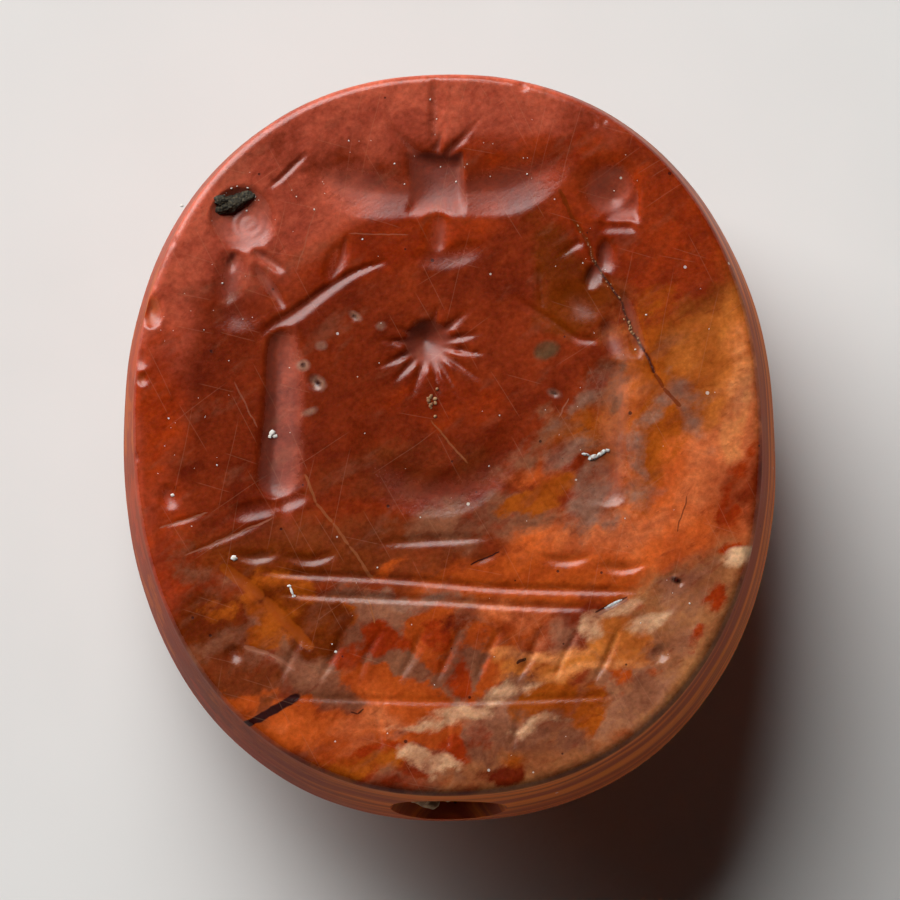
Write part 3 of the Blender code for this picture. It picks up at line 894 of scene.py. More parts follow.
def noise_at(tree, vector, scale, detail=3.0, roughness=0.55, distortion=0.0, output="Fac"):
    made = add_node(tree, "ShaderNodeTexNoise")
    feed(tree, made.inputs["Vector"], vector)
    set_inputs(made, Scale=scale, Detail=detail, Roughness=roughness, Distortion=distortion)
    return made.outputs[output]


def mapped(tree, vector, turn=0.0, scale=(1, 1, 1), kind="POINT"):
    made = add_node(tree, "ShaderNodeMapping", vector_type=kind)
    feed(tree, made.inputs["Vector"], vector)
    set_inputs(made, Rotation=(0, 0, turn), Scale=scale)
    return made.outputs[0]


def join_xyz(tree, x, y, z):
    made = add_node(tree, "ShaderNodeCombineXYZ")
    for socket, value in zip(made.inputs, (x, y, z)):
        feed(tree, socket, value)
    return made.outputs[0]


def split_xyz(tree, vector):
    made = add_node(tree, "ShaderNodeSeparateXYZ")
    feed(tree, made.inputs[0], vector)
    return made.outputs


def split_colour(tree, colour):
    made = add_node(tree, "ShaderNodeSeparateColor")
    feed(tree, made.inputs[0], colour)
    return made.outputs


def bumped(tree, shader, height, strength, distance):
    """Gives the shader a bump, of this distance in millimetres."""
    made = add_node(tree, "ShaderNodeBump")
    set_inputs(made, Strength=strength, Distance=distance * MM)
    tree.links.new(height, made.inputs["Height"])
    tree.links.new(made.outputs[0], shader.inputs["Normal"])


def run_along(tree, points, degrees, length, width):
    """The points, turned, so that a noise of scale 1 has grains of this length and width."""
    scale = (length, width, width)
    return mapped(tree, points, turn=math.radians(degrees), scale=scale, kind="TEXTURE")


def use_group(tree, group, **values):
    made = add_node(tree, "ShaderNodeGroup", node_tree=group)
    for name, value in values.items():
        feed(tree, made.inputs[name], value)
    return made.outputs


def new_group(name, inputs, outputs):
    """An empty node group, with its input and output nodes."""
    group = bpy.data.node_groups.new(name, "ShaderNodeTree")
    for label, kind, value in inputs:
        socket = group.interface.new_socket(label, in_out="INPUT", socket_type="NodeSocket" + kind)
        socket.default_value = value
    for label, kind in outputs:
        group.interface.new_socket(label, in_out="OUTPUT", socket_type="NodeSocket" + kind)
    given = group.nodes.new("NodeGroupInput").outputs
    return group, given, group.nodes.new("NodeGroupOutput").inputs


def stroke_group():
    """Mask of a straight stroke with blunt ends."""
    group, given, made = new_group(
        "stroke_mask",
        [
            ("Vector", "Vector", (0, 0, 0)), ("Centre", "Vector", (0, 0, 0)),
            ("Along", "Vector", (1, 0, 0)), ("Across", "Vector", (0, 1, 0)), ("Strength", "Float", 1.0),
        ],
        [("Mask", "Float")],
    )
    local = vector_math(group, "SUBTRACT", given["Vector"], given["Centre"])
    along = calculate(group, "POWER", vector_math(group, "DOT_PRODUCT", local, given["Along"]), 8.0)
    across = calculate(group, "POWER", vector_math(group, "DOT_PRODUCT", local, given["Across"]), 2.0)
    mask = ramp(group, calculate(group, "ADD", along, across), 1.3, 0.5, 0.0, given["Strength"])
    group.links.new(mask, made["Mask"])
    return group


def scratch_group():
    """Mask of fine straight scratches, one to a cell, all running near the vector's X."""
    group, given, made = new_group(
        "scratch_mask",
        [
            ("Vector", "Vector", (0, 0, 0)), ("Length", "Float", 4.0), ("Spacing", "Float", 0.9),
            ("Width", "Float", 0.03), ("Share", "Float", 0.3), ("Seed", "Float", 0.0),
        ],
        [("Mask", "Float")],
    )
    x, y, _ = split_xyz(group, given["Vector"])
    rows = calculate(group, "DIVIDE", y, given["Spacing"])
    row, across = calculate(group, "FLOOR", rows), calculate(group, "FRACT", rows)
    first = add_node(group, "ShaderNodeTexWhiteNoise", noise_dimensions="2D")
    feed(group, first.inputs["Vector"], join_xyz(group, row, given["Seed"], 0.0))
    lengths = calculate(group, "DIVIDE", x, given["Length"])
    lengths = calculate(group, "MULTIPLY_ADD", first.outputs["Value"], 7.3, lengths)
    cell, along = calculate(group, "FLOOR", lengths), calculate(group, "FRACT", lengths)
    second = add_node(group, "ShaderNodeTexWhiteNoise", noise_dimensions="3D")
    feed(group, second.inputs["Vector"], join_xyz(group, row, cell, given["Seed"]))
    place_draw, slope_draw, share_draw = split_colour(group, second.outputs["Color"])
    place = calculate(group, "MULTIPLY_ADD", place_draw, 0.5, 0.25)
    slope = times(group, calculate(group, "SUBTRACT", slope_draw, 0.5), 0.45)
    middle = calculate(group, "MULTIPLY_ADD", calculate(group, "SUBTRACT", along, 0.5), slope, place)
    off = calculate(group, "ABSOLUTE", calculate(group, "SUBTRACT", across, middle))
    line = ramp(group, times(group, off, given["Spacing"]), 0.0, given["Width"], 1.0, 0.0)
    ends = ramp(group, calculate(group, "PINGPONG", along, 0.5), 0.02, 0.2)
    chosen = calculate(group, "LESS_THAN", share_draw, given["Share"])
    group.links.new(times(group, times(group, line, ends), chosen), made["Mask"])
    return group


def grain_group():
    """Fine mineral grain: a value round 0.5, and a height for bumps, at a size in millimetres."""
    group, given, made = new_group(
        "mineral_grain",
        [("Vector", "Vector", (0, 0, 0)), ("Size", "Float", 0.2)],
        [("Value", "Float"), ("Height", "Float")],
    )
    shrunk = vector_math(group, "DIVIDE", given["Vector"], given["Size"])
    coarse = noise_at(group, shrunk, 1.0, detail=4.0, roughness=0.65)
    fine = noise_at(group, shrunk, 4.3, detail=2.0, roughness=0.6)
    group.links.new(coarse, made["Value"])
    group.links.new(calculate(group, "MULTIPLY_ADD", fine, 0.4, coarse), made["Height"])
    return group


def new_material(name, roughness):
    """A material with its Principled BSDF, and its points in millimetres."""
    material = bpy.data.materials.new(name)
    material.use_nodes = True
    tree = material.node_tree
    shader = tree.nodes["Principled BSDF"]
    shader.inputs["Roughness"].default_value = roughness
    points = tree.nodes.new("ShaderNodeTexCoord").outputs["Object"]
    scale = 1 / MM
    return material, tree, shader, mapped(tree, points, scale=(scale, scale, scale))


# The stone's zones, a layer of one colour at a time, from the lowest to the last one painted. A few
# patches are painted sheen, painted highlight or painted shade, and say so where they stand. Each
# layer is colour, softness and raggedness of its edges in millimetres, and its patches; each patch is
# its middle, half length, half width, turn in degrees, and how much of it the layer covers
LAYERS = (
    # Rose is partly the stone's own pink and partly a painted sheen: the upper left and top margins are
    # painted lighter and pinker, as where the light from the upper left glances off the rounded margin
    ("rose", 1.0, 1.6, (
        (-5.0, 8.2, 5.8, 2.6, 38, 0.95), (-0.4, 10.6, 4.9, 1.8, -4, 0.9),
        (-8.8, 3.6, 3.0, 1.1, 82, 0.75), (-9.3, -1.6, 3.4, 0.7, 95, 0.5),
        (-4.0, 9.6, 2.4, 1.2, 30, 0.96),
    )),
    ("deep", 0.8, 2.4, (
        (-3.2, 0.2, 4.2, 2.2, 88, 0.75), (-0.6, -0.2, 2.6, 1.8, 10, 0.75),
        (-6.8, 0.8, 3.0, 1.2, 82, 0.7), (-7.0, -3.4, 1.6, 0.8, 0, 0.4), (2.0, 5.6, 3.0, 1.4, -20, 0.4),
        # This deep patch is painted shade: the dark upper walls of the sun's wings and disc
        (-0.6, 8.5, 3.6, 0.4, 0, 0.75),
    )),
    ("vermilion", 0.5, 1.8, (
        (6.8, 5.8, 2.4, 1.8, -50, 0.5), (-2.4, -2.4, 1.4, 0.4, 5, 0.7),
        (-8.6, -4.0, 1.6, 0.8, -60, 0.5), (-0.2, 1.0, 1.4, 0.6, 0, 0.4),
        (4.1, 6.0, 0.8, 0.16, -62, 0.9), (-8.9, 0.4, 2.6, 0.7, 88, 0.9),
        (-8.6, -2.6, 1.6, 0.5, 95, 0.7), (-1.6, 5.9, 2.6, 0.7, 15, 0.6), (2.4, 8.6, 2.2, 0.5, 0, 0.5),
    )),
    ("terracotta", 0.6, 1.8, (
        (-2.4, -3.5, 4.2, 1.1, 0, 0.75), (-6.9, -7.2, 1.5, 1.2, -20, 0.85),
        (-0.4, -1.2, 2.2, 0.5, 0, 0.4),
    )),
    ("ochre", 0.4, 2.2, (
        (6.9, 0.6, 3.8, 2.3, 60, 0.95), (6.2, 2.9, 1.4, 0.8, 60, 0.5), (4.3, 0.3, 1.3, 0.7, 20, 0.9),
    )),
    ("umber", 0.35, 1.4, (
        (4.0, 4.0, 1.3, 0.95, 10, 0.96), (-7.0, -5.6, 1.6, 1.0, 25, 0.8),
        (-5.3, -3.9, 2.2, 0.6, 0, 0.8), (3.4, 5.4, 1.4, 0.8, -60, 0.9), (7.5, 3.4, 1.6, 0.5, 50, 0.6),
        (4.3, 4.9, 0.7, 0.3, -60, 0.8),
    )),
    ("honey", 0.7, 1.2, ((8.6, 2.2, 2.8, 0.7, 82, 0.8), (7.6, 2.9, 1.0, 0.5, 60, 0.6))),
    ("coral", 0.3, 1.8, (
        (7.4, -1.8, 1.9, 1.2, 60, 0.9), (5.2, -3.3, 3.6, 1.2, 8, 0.95),
        (2.6, -1.25, 0.7, 0.35, 10, 0.9),
    )),
    ("salmon", 0.5, 1.6, (
        (8.3, -0.9, 1.6, 1.0, 65, 0.8), (5.0, -2.75, 1.8, 0.5, 6, 0.85),
        # The first patch of the next line is a painted highlight: the lit right wall of the right
        # figure's robe
        (5.42, 0.1, 1.9, 0.25, 93, 0.35), (9.2, -3.3, 0.9, 0.3, 70, 0.7),
        (9.0, 0.8, 1.9, 0.6, 86, 0.95),
    )),
    ("orange", 0.3, 1.6, (
        (3.4, -4.6, 4.6, 0.75, 2, 0.95), (0.6, -5.7, 2.4, 0.8, -2, 0.85),
        (4.72, -1.3, 0.5, 0.22, 72, 0.95), (-4.0, -9.2, 2.7, 0.65, -10, 1.0),
        (1.6, -4.9, 2.6, 0.4, 0, 0.8),
    )),
    ("smoke", 0.3, 2.0, (
        (3.4, 0.4, 1.8, 0.35, 38, 0.5), (0.8, -2.6, 1.9, 0.6, 5, 0.85), (2.2, -2.95, 1.5, 0.4, 14, 0.9),
        (-1.4, -7.0, 4.7, 2.1, -10, 0.95), (-4.4, -7.4, 1.6, 0.6, -8, 0.9),
        (-6.8, -4.35, 0.9, 0.2, -18, 0.8), (-6.6, -6.1, 0.9, 0.2, 35, 0.8),
    )),
    ("tan", 0.35, 1.4, (
        (6.6, -6.6, 3.4, 2.1, 52, 0.95), (2.9, -9.9, 3.3, 0.85, 18, 0.9),
        (8.1, -3.9, 0.9, 0.6, 70, 0.8),
    )),
    ("mauve", 0.35, 1.8, (
        (-1.8, -5.5, 1.1, 0.5, 0, 0.85), (0.6, -8.8, 3.4, 0.9, 8, 0.9),
        (-5.7, -5.6, 0.5, 0.3, -50, 0.85), (3.4, -6.0, 0.55, 0.28, 5, 0.85),
        (5.6, -7.7, 2.0, 1.2, 50, 0.7), (7.0, -5.6, 1.1, 0.7, 60, 0.6), (8.9, 1.35, 0.4, 0.25, 80, 0.7),
        (-4.6, -7.0, 1.2, 0.35, -15, 0.7), (6.9, -4.6, 0.9, 0.35, 30, 0.7),
    )),
    ("slate", 0.25, 1.4, (
        (4.25, -1.6, 0.9, 0.4, 80, 0.75), (5.0, -2.05, 1.0, 0.35, 25, 0.7),
        (4.2, 1.2, 0.7, 0.16, 40, 0.7), (7.15, 1.1, 0.4, 0.22, 10, 0.8),
        (7.45, 0.5, 0.55, 0.16, -55, 0.8), (6.3, 0.5, 0.55, 0.12, 28, 0.6),
        (3.6, -0.6, 0.6, 0.22, 40, 0.7), (-1.2, -5.0, 1.0, 0.25, 0, 0.6), (5.9, -0.6, 0.3, 0.6, 0, 0.6),
    )),
    ("ochre", 0.14, 1.5, (
        (-4.6, -5.3, 1.9, 0.9, -25, 1.0), (-3.3, -5.7, 0.5, 0.4, 60, 0.8),
        (-5.5, -6.3, 0.8, 0.42, -12, 0.95), (-2.3, -10.2, 1.5, 0.45, 4, 1.0),
        (3.1, -8.2, 0.85, 0.8, 10, 0.95), (4.3, -8.4, 0.85, 0.5, 90, 0.95),
        (1.8, -9.95, 0.5, 0.16, 8, 0.95), (2.7, -1.95, 1.2, 0.5, 35, 1.0),
        (2.0, -2.45, 0.5, 0.35, 10, 0.95), (-6.9, -5.2, 0.6, 0.3, 30, 0.8),
        (4.6, -6.9, 1.6, 0.4, 5, 0.9),
    )),
    ("umber", 0.12, 0.8, ((-3.75, -6.0, 0.95, 0.85, 0, 0.95), (-5.0, -5.0, 0.8, 0.25, -30, 0.8))),
    ("terracotta", 0.1, 0.4, ((-5.5, -7.75, 0.8, 0.5, 70, 0.95), (-6.0, -8.4, 0.7, 0.3, -40, 0.8))),
    ("orange", 0.12, 1.5, (
        (-0.5, -6.0, 0.95, 0.85, 0, 0.95), (-1.5, -8.0, 1.8, 0.85, -28, 1.0),
        (-0.7, -9.4, 1.1, 0.38, 5, 0.95), (1.3, -7.3, 0.95, 0.26, 48, 0.95),
        (1.3, -6.3, 1.2, 0.5, 0, 0.9), (5.3, -7.5, 0.45, 0.38, 40, 0.9),
        (-6.4, -8.5, 0.6, 0.42, 0, 0.9), (-2.7, -9.0, 1.4, 0.3, -12, 1.0),
        (-4.6, -8.6, 0.8, 0.4, -20, 0.95), (6.6, -7.3, 0.25, 0.15, 40, 0.9),
        (-1.9, -4.2, 0.7, 0.2, 40, 0.8),
    )),
    ("coral", 0.4, 1.2, ((-1.9, -8.2, 0.9, 0.4, -28, 0.5), (-3.2, -9.2, 1.4, 0.3, -10, 0.5))),
    ("vermilion", 0.12, 1.3, (
        (-1.9, -6.4, 0.6, 0.55, 0, 1.0), (-2.8, -6.9, 0.6, 0.34, 10, 0.9),
        (-0.4, -6.2, 0.5, 0.45, 0, 0.8), (0.1, -9.9, 0.45, 0.38, 0, 0.95),
        (0.3, -7.4, 0.5, 0.42, 80, 0.95), (5.8, -5.2, 0.42, 0.14, 5, 0.9),
        (7.9, -5.5, 0.6, 0.24, 60, 0.9), (8.15, -3.5, 0.6, 0.15, 18, 0.85),
        (8.7, -2.0, 1.2, 0.22, 62, 0.7), (-2.0, -9.9, 0.8, 0.14, 0, 0.8),
    )),
    ("honey", 0.14, 1.2, ((3.3, -6.85, 1.6, 0.4, 0, 1.0), (5.3, -6.2, 1.0, 0.7, 10, 0.95))),
    ("straw", 0.15, 0.6, (
        (3.0, -6.62, 1.2, 0.16, 2, 0.85), (4.4, -7.1, 1.3, 0.12, 5, 0.7),
        (8.85, 0.9, 1.6, 0.35, 87, 0.5),
    )),
    ("salmon", 0.3, 1.0, ((-1.6, -8.95, 1.4, 0.2, 2, 0.7), (1.9, -5.4, 0.8, 0.18, 5, 0.7))),
    # This rose patch is a painted highlight: the lit right wall of the left figure's robe
    ("rose", 0.2, 0.5, ((-4.78, 0.5, 2.2, 0.3, 88, 0.5),)),
    ("smoke", 0.2, 1.5, (
        (1.9, -9.2, 1.0, 0.48, 5, 0.9), (3.2, -9.4, 1.0, 0.4, 8, 0.9), (0.9, -9.8, 0.55, 0.5, 10, 0.9),
        (3.45, -8.7, 0.34, 0.3, 0, 0.9), (-1.6, -10.85, 1.4, 0.2, 5, 0.9),
        (5.9, -8.1, 0.9, 0.45, 50, 0.8),
    )),
    ("cream", 0.13, 0.9, (
        (-0.7, -10.15, 0.6, 0.28, -20, 0.9), (0.35, -8.6, 1.0, 0.28, 3, 0.95),
        (1.85, -7.85, 0.66, 0.25, 28, 1.0), (5.0, -5.4, 0.8, 0.2, 27, 0.95),
        (4.4, -5.85, 0.34, 0.3, 30, 0.85), (6.15, -5.55, 0.38, 0.28, 10, 0.9),
        (8.75, -3.8, 0.42, 0.32, 20, 1.0), (-0.6, -9.0, 0.7, 0.16, 10, 0.85),
        (2.9, -8.9, 0.5, 0.14, 20, 0.8),
    )),
    ("slate", 0.08, 0.25, (
        (-4.42, 2.15, 0.2, 0.17, 0, 1.0), (-4.0, 1.6, 0.26, 0.18, -50, 1.0),
        (-2.85, 3.6, 0.18, 0.1, -30, 0.9), (-2.1, 3.3, 0.14, 0.1, 0, 0.9),
        (3.25, 1.25, 0.18, 0.12, -20, 0.9), (-3.85, 2.75, 0.16, 0.14, 0, 0.8),
        (-4.2, 0.75, 0.2, 0.08, 20, 0.8),
    )),
    ("plum", 0.05, 0.2, (
        (-4.42, 2.15, 0.08, 0.07, 0, 1.0), (-4.0, 1.6, 0.13, 0.08, -50, 1.0),
        (-2.88, 3.6, 0.08, 0.04, -30, 0.9), (3.25, 1.25, 0.08, 0.05, -20, 0.9),
        (6.95, -4.45, 0.12, 0.08, -30, 0.9),
    )),
    ("orange", 0.1, 0.3, ((-9.1, 3.85, 0.45, 0.28, 75, 1.0), (-9.3, 1.7, 0.16, 0.1, 90, 0.9))),
    ("olive", 0.1, 0.3, ((3.05, 2.55, 0.37, 0.28, 35, 0.9), (5.2, 0.9, 0.22, 0.14, 60, 0.6))),
    ("deep", 0.1, 0.7, (
        (1.6, -10.35, 0.75, 0.2, 22, 0.9), (-1.6, -10.8, 0.8, 0.16, 5, 0.9),
        (0.4, -5.8, 0.6, 0.3, 10, 0.9),
    )),
)


def layer_name(index):
    return f"layer_{index:02d}"


def patch_level(x, y, patch):
    """How far each place lies inside the patch, about in millimetres."""
    middle_x, middle_y, half_length, half_width, turn = patch
    c, s = math.cos(math.radians(turn)), math.sin(math.radians(turn))
    dx, dy = x - middle_x, y - middle_y
    out = np.hypot((dx * c + dy * s) / half_length, (dy * c - dx * s) / half_width)
    return (1 - out) * half_width


# Picks the offsets of the vector noise, which are drawn anew in each run without it
SWIRL_SEED = 5
# Size of the swirls that the zones' outlines follow and how far they push, in millimetres
SWIRL_SIZE = 1.7
SWIRL_REACH = 0.5
# Level of the places that no patch of a layer reaches, and the most that a solid patch has
OUTSIDE_LEVEL = -3.0
SOLID_LEVEL = 9.0


def store_layers(mesh):
    """Stores how far each vertex lies inside each layer. The material then breaks up the edges."""
    points = np.empty(len(mesh.vertices) * 3, np.float32)
    mesh.vertices.foreach_get("co", points)
    x, y, z = points.reshape(-1, 3).T / MM
    noise.seed_set(SWIRL_SEED)
    swirls = np.array([
        noise.turbulence_vector(Vector(place) / SWIRL_SIZE, 3, False)
        for place in zip(x.tolist(), y.tolist(), (0.3 * z).tolist())
    ])
    for index, (_, softness, raggedness, patches) in enumerate(LAYERS):
        reach = SWIRL_REACH * min(raggedness, 1)
        moved_x, moved_y = x + reach * swirls[:, 0], y + reach * swirls[:, 1]
        level = np.full(len(x), OUTSIDE_LEVEL)
        for *patch, cover in patches:
            most = SOLID_LEVEL if cover > 0.94 else softness * (2 * cover - 1) * 0.9
            level = np.maximum(level, np.minimum(patch_level(moved_x, moved_y, patch), most))
        stored = mesh.attributes.new(layer_name(index), "FLOAT", "POINT")
        stored.data.foreach_set("value", level.astype(np.float32))


# Thin marks on the polish: colour, the places they run through, width, strength
MARKS = (
    ("plum", ((-6.6, -9.05), (-5.6, -8.62)), 0.24, 1.0),
    ("plum", ((-5.85, -8.76), (-4.48, -7.95)), 0.28, 1.0),
    ("tan", ((-4.35, -1.2), (-4.0, -2.1), (-3.5, -2.7), (-3.0, -3.4), (-2.2, -4.5)), 0.09, 0.5),
    ("tan", ((-0.5, 0.4), (0.6, -0.9)), 0.06, 0.5),
    ("mauve", ((-8.0, -3.7), (-5.3, -2.55)), 0.06, 0.7),
    ("mauve", ((-8.8, -2.85), (-7.3, -2.4)), 0.07, 0.7),
    ("mauve", ((-3.0, 6.15), (-1.2, 6.1)), 0.04, 0.5),
    ("mauve", ((-4.0, 7.0), (-4.6, 5.0)), 0.035, 0.45),
    ("mauve", ((-6.5, 1.6), (-5.8, 0.2)), 0.05, 0.45),
    ("tan", ((-2.4, -5.0), (-2.2, -5.8)), 0.05, 0.8),
    ("mauve", ((3.4, 0.5), (3.7, 1.1)), 0.05, 0.7),
    ("plum", ((0.7, -4.0), (1.6, -3.6)), 0.06, 0.9),
    ("plum", ((2.1, -7.0), (2.4, -6.85)), 0.1, 0.9),
    ("plum", ((7.3, -1.9), (7.0, -3.0)), 0.05, 0.6),
    ("plum", ((4.5, -5.45), (5.5, -4.95)), 0.06, 0.85),
    ("slate", ((4.6, -5.52), (5.5, -5.03)), 0.1, 0.8),
    ("plum", ((-2.95, -8.5), (-2.75, -8.56), (-2.55, -8.4)), 0.05, 0.8),
    ("ochre", GOUGE_WAY, 0.36, 0.7),
    ("mauve", LOW_SCRATCH_WAY, 0.12, 0.8),
    ("umber", CRACK_WAY, 0.13, 0.8),
    ("plum", CRACK_WAY[4:-2], 0.06, 0.8),
)


def rgba(colour):
    return (*colour, 1.0)


def swirled(tree, points, size, reach, detail):
    """The points, moved about in X and Y by up to about a quarter of reach, in swirls of this size."""
    swirl = noise_at(tree, points, 1 / size, detail=detail, roughness=0.6, output="Color")
    moved = vector_math(tree, "SUBTRACT", swirl, (0.5, 0.5, 0.5))
    return vector_math(tree, "ADD", points, vector_math(tree, "MULTIPLY", moved, (reach, reach, 0)))


def turned_axes(turn, half_length, half_width):
    """The two vectors that measure a place along and across a stroke, in its half sizes."""
    c, s = math.cos(turn), math.sin(turn)
    return (c / half_length, s / half_length, 0), (-s / half_width, c / half_width, 0)


def paint_layers(tree, colours, flow, colour):
    """Lays the colours over one another, each with an edge that a noise breaks up."""
    broken = noise_at(tree, flow, 1.3, detail=6.0, roughness=0.66)
    around = calculate(tree, "SUBTRACT", broken, 0.5)
    for index, (name, softness, raggedness, _) in enumerate(LAYERS):
        level = attribute(tree, layer_name(index))
        edge = calculate(tree, "MULTIPLY_ADD", around, raggedness, level)
        share = ramp(tree, edge, -softness, softness)
        colour = blend(tree, share, colour, rgba(getattr(colours, name)))
    return colour


def paint_marks(tree, colours, points, colour):
    """Draws the marks, each a chain of strokes that waver a little."""
    stroke = stroke_group()
    places = swirled(tree, points, size=0.5, reach=0.14, detail=2.0)
    for name, way, width, strength in MARKS:
        for (x, y), (to_x, to_y) in zip(way, way[1:]):
            centre = ((x + to_x) / 2, (y + to_y) / 2, 0)
            length = math.hypot(to_x - x, to_y - y)
            along, across = turned_axes(math.atan2(to_y - y, to_x - x), length / 2, width / 2)
            mask = use_group(
                tree, stroke, Vector=places, Centre=centre, Along=along, Across=across,
                Strength=strength,
            )["Mask"]
            colour = blend(tree, mask, colour, rgba(getattr(colours, name)))
    return colour


# Directions of the scratches in degrees, and how many of their cells hold one
SCRATCH_TURNS = ((14, 0.12), (62, 0.16), (-35, 0.12), (-78, 0.1))


def scratches_on(tree, points):
    """Mask of all the fine scratches."""
    scratch = scratch_group()
    places = swirled(tree, points, size=3.0, reach=0.2, detail=1.0)
    total = None
    for seed, (turn, share) in enumerate(SCRATCH_TURNS):
        turned = mapped(tree, places, turn=math.radians(turn))
        length = 1.3 + 0.7 * seed
        mask = use_group(
            tree, scratch, Vector=turned, Length=length, Spacing=0.5, Width=0.022, Share=share,
            Seed=float(seed),
        )["Mask"]
        total = mask if total is None else calculate(tree, "MAXIMUM", total, mask)
    return total


# What the clouds multiply the stone's colour by
CLOUD_DARK = (0.72, 0.62, 0.56, 1)
CLOUD_LIGHT = (1.25, 1.42, 1.4, 1)


def paint_clouds(tree, colours, points, colour):
    """Light and dark clouds, grey smudges and dark streaks, which run across the zones."""
    flow = run_along(tree, points, 35, 1.6, 1.0)
    colour = paint_layers(tree, colours, flow, colour)
    cloud = noise_at(tree, flow, 0.85, detail=6.0, roughness=0.66, distortion=0.4)
    shade = blend(tree, ramp(tree, cloud, 0.3, 0.7), CLOUD_DARK, CLOUD_LIGHT)
    colour = blend(tree, 1.0, colour, shade, mode="MULTIPLY")
    smudge = noise_at(tree, run_along(tree, points, 38, 1.8, 0.6), 1.0, detail=4.0)
    colour = blend(tree, ramp(tree, smudge, 0.55, 0.75, 0.0, 0.4), colour, rgba(colours.smoke))
    streaks = noise_at(tree, run_along(tree, points, 33, 0.6, 0.2), 1.0, detail=2.0)
    streaked = ramp(tree, calculate(tree, "MULTIPLY_ADD", cloud, -0.35, streaks), 0.47, 0.56)
    return blend(tree, times(tree, streaked, 0.32), colour, rgba(colours.deep))


# Clouds of the side: colour, the noise at which it starts and at which it is fullest, strength
SIDE_CLOUDS = (
    ("ochre", 0.53, 0.6, 0.75), ("smoke", 0.62, 0.7, 0.4), ("vermilion", 0.45, 0.38, 0.8),
    ("umber", 0.36, 0.3, 0.6),
)
# Direction from the middle of the stone in which its side is banded most and painted brightest, as
# painted light; the sides turned away from it are painted darker, as painted shade
BANDED_SIDE = (0.8, -0.5, 0)


def paint_side(tree, colours, points, below, colour):
    """Clouds and veins on the side and back, and bands round the side, clearest at the lower right,
    which is painted bright as painted light, while the far sides are painted darker as painted shade.
    """
    wavy = swirled(tree, points, size=6.0, reach=0.8, detail=2.0)
    lifted = times(tree, noise_at(tree, points, 0.15, detail=2.0), 1.2)
    levels = vector_math(tree, "ADD", wavy, join_xyz(tree, 0.0, 0.0, lifted))
    levels = mapped(tree, levels, scale=(0.05, 0.05, 1.5))
    band = ramp(tree, noise_at(tree, levels, 1.0, detail=6.0, roughness=0.62), 0.42, 0.58)
    bands = blend(tree, band, rgba(colours.orange), rgba(colours.honey_side))
    toward = vector_math(tree, "DOT_PRODUCT", points, BANDED_SIDE)
    # Painted shade: the sides away from the lower right turn towards deep red, up to 0.8 of it
    away = times(tree, below, ramp(tree, toward, 2.0, -4.0, 0.0, 0.8))
    colour = blend(tree, away, colour, rgba(colours.deep))
    clouds = noise_at(tree, run_along(tree, wavy, 20, 4.5, 2.6), 1.0, detail=5.0, roughness=0.62)
    for name, low, high, strength in SIDE_CLOUDS:
        cloud = times(tree, ramp(tree, clouds, low, high, 0.0, strength), below)
        colour = blend(tree, cloud, colour, rgba(getattr(colours, name)))
    veins = noise_at(tree, levels, 0.8, detail=3.0, distortion=1.2)
    off_vein = calculate(tree, "ABSOLUTE", calculate(tree, "SUBTRACT", veins, 0.52))
    vein = times(tree, ramp(tree, off_vein, 0.012, 0.0, 0.0, 0.3), below)
    colour = blend(tree, vein, colour, rgba(colours.honey))
    # Painted light: the bright bands cover most of the side towards the lower right
    share = times(tree, below, ramp(tree, toward, -1.0, 5.5, 0.1, 0.95))
    return blend(tree, share, colour, bands)


def paint_dots(tree, colours, points, colour):
    """Small dark pits and pale specks of dust, one or none to a cell. Returns the pits' mask too."""
    cells = add_node(tree, "ShaderNodeTexVoronoi")
    feed(tree, cells.inputs["Vector"], points)
    set_inputs(cells, Scale=1.5)
    kind, size, _ = split_colour(tree, cells.outputs["Color"])
    radius = calculate(tree, "MULTIPLY_ADD", size, 0.06, 0.03)
    dot = calculate(tree, "LESS_THAN", cells.outputs["Distance"], radius)
    pits = times(tree, dot, calculate(tree, "LESS_THAN", kind, 0.4))
    specks = times(tree, dot, calculate(tree, "GREATER_THAN", kind, 0.86))
    colour = blend(tree, times(tree, pits, 0.75), colour, rgba(colours.plum))
    return blend(tree, times(tree, specks, 0.6), colour, rgba(colours.dust)), pits


def polish(tree, grain, ground, y, uncut):
    """Roughness: glossy on the face, duller in the cuts, and dull past the rim, most at the foot."""
    smooth = ramp(tree, grain, 0.3, 0.7, 0.19, 0.26, smooth=False)
    rough = calculate(tree, "MULTIPLY_ADD", ground, 0.16, smooth)
    dull = ramp(tree, y, 7.0, 3.0, 0.3, 0.6)
    past_rim = ramp(tree, uncut, FACE_HEIGHT / MM - 0.03, FACE_HEIGHT / MM - 0.2, 0.0, dull)
    return calculate(tree, "ADD", rough, past_rim)


# Colour of what the cutting wheel left unpolished
CUT_TINT = (0.32, 0.13, 0.10, 1)


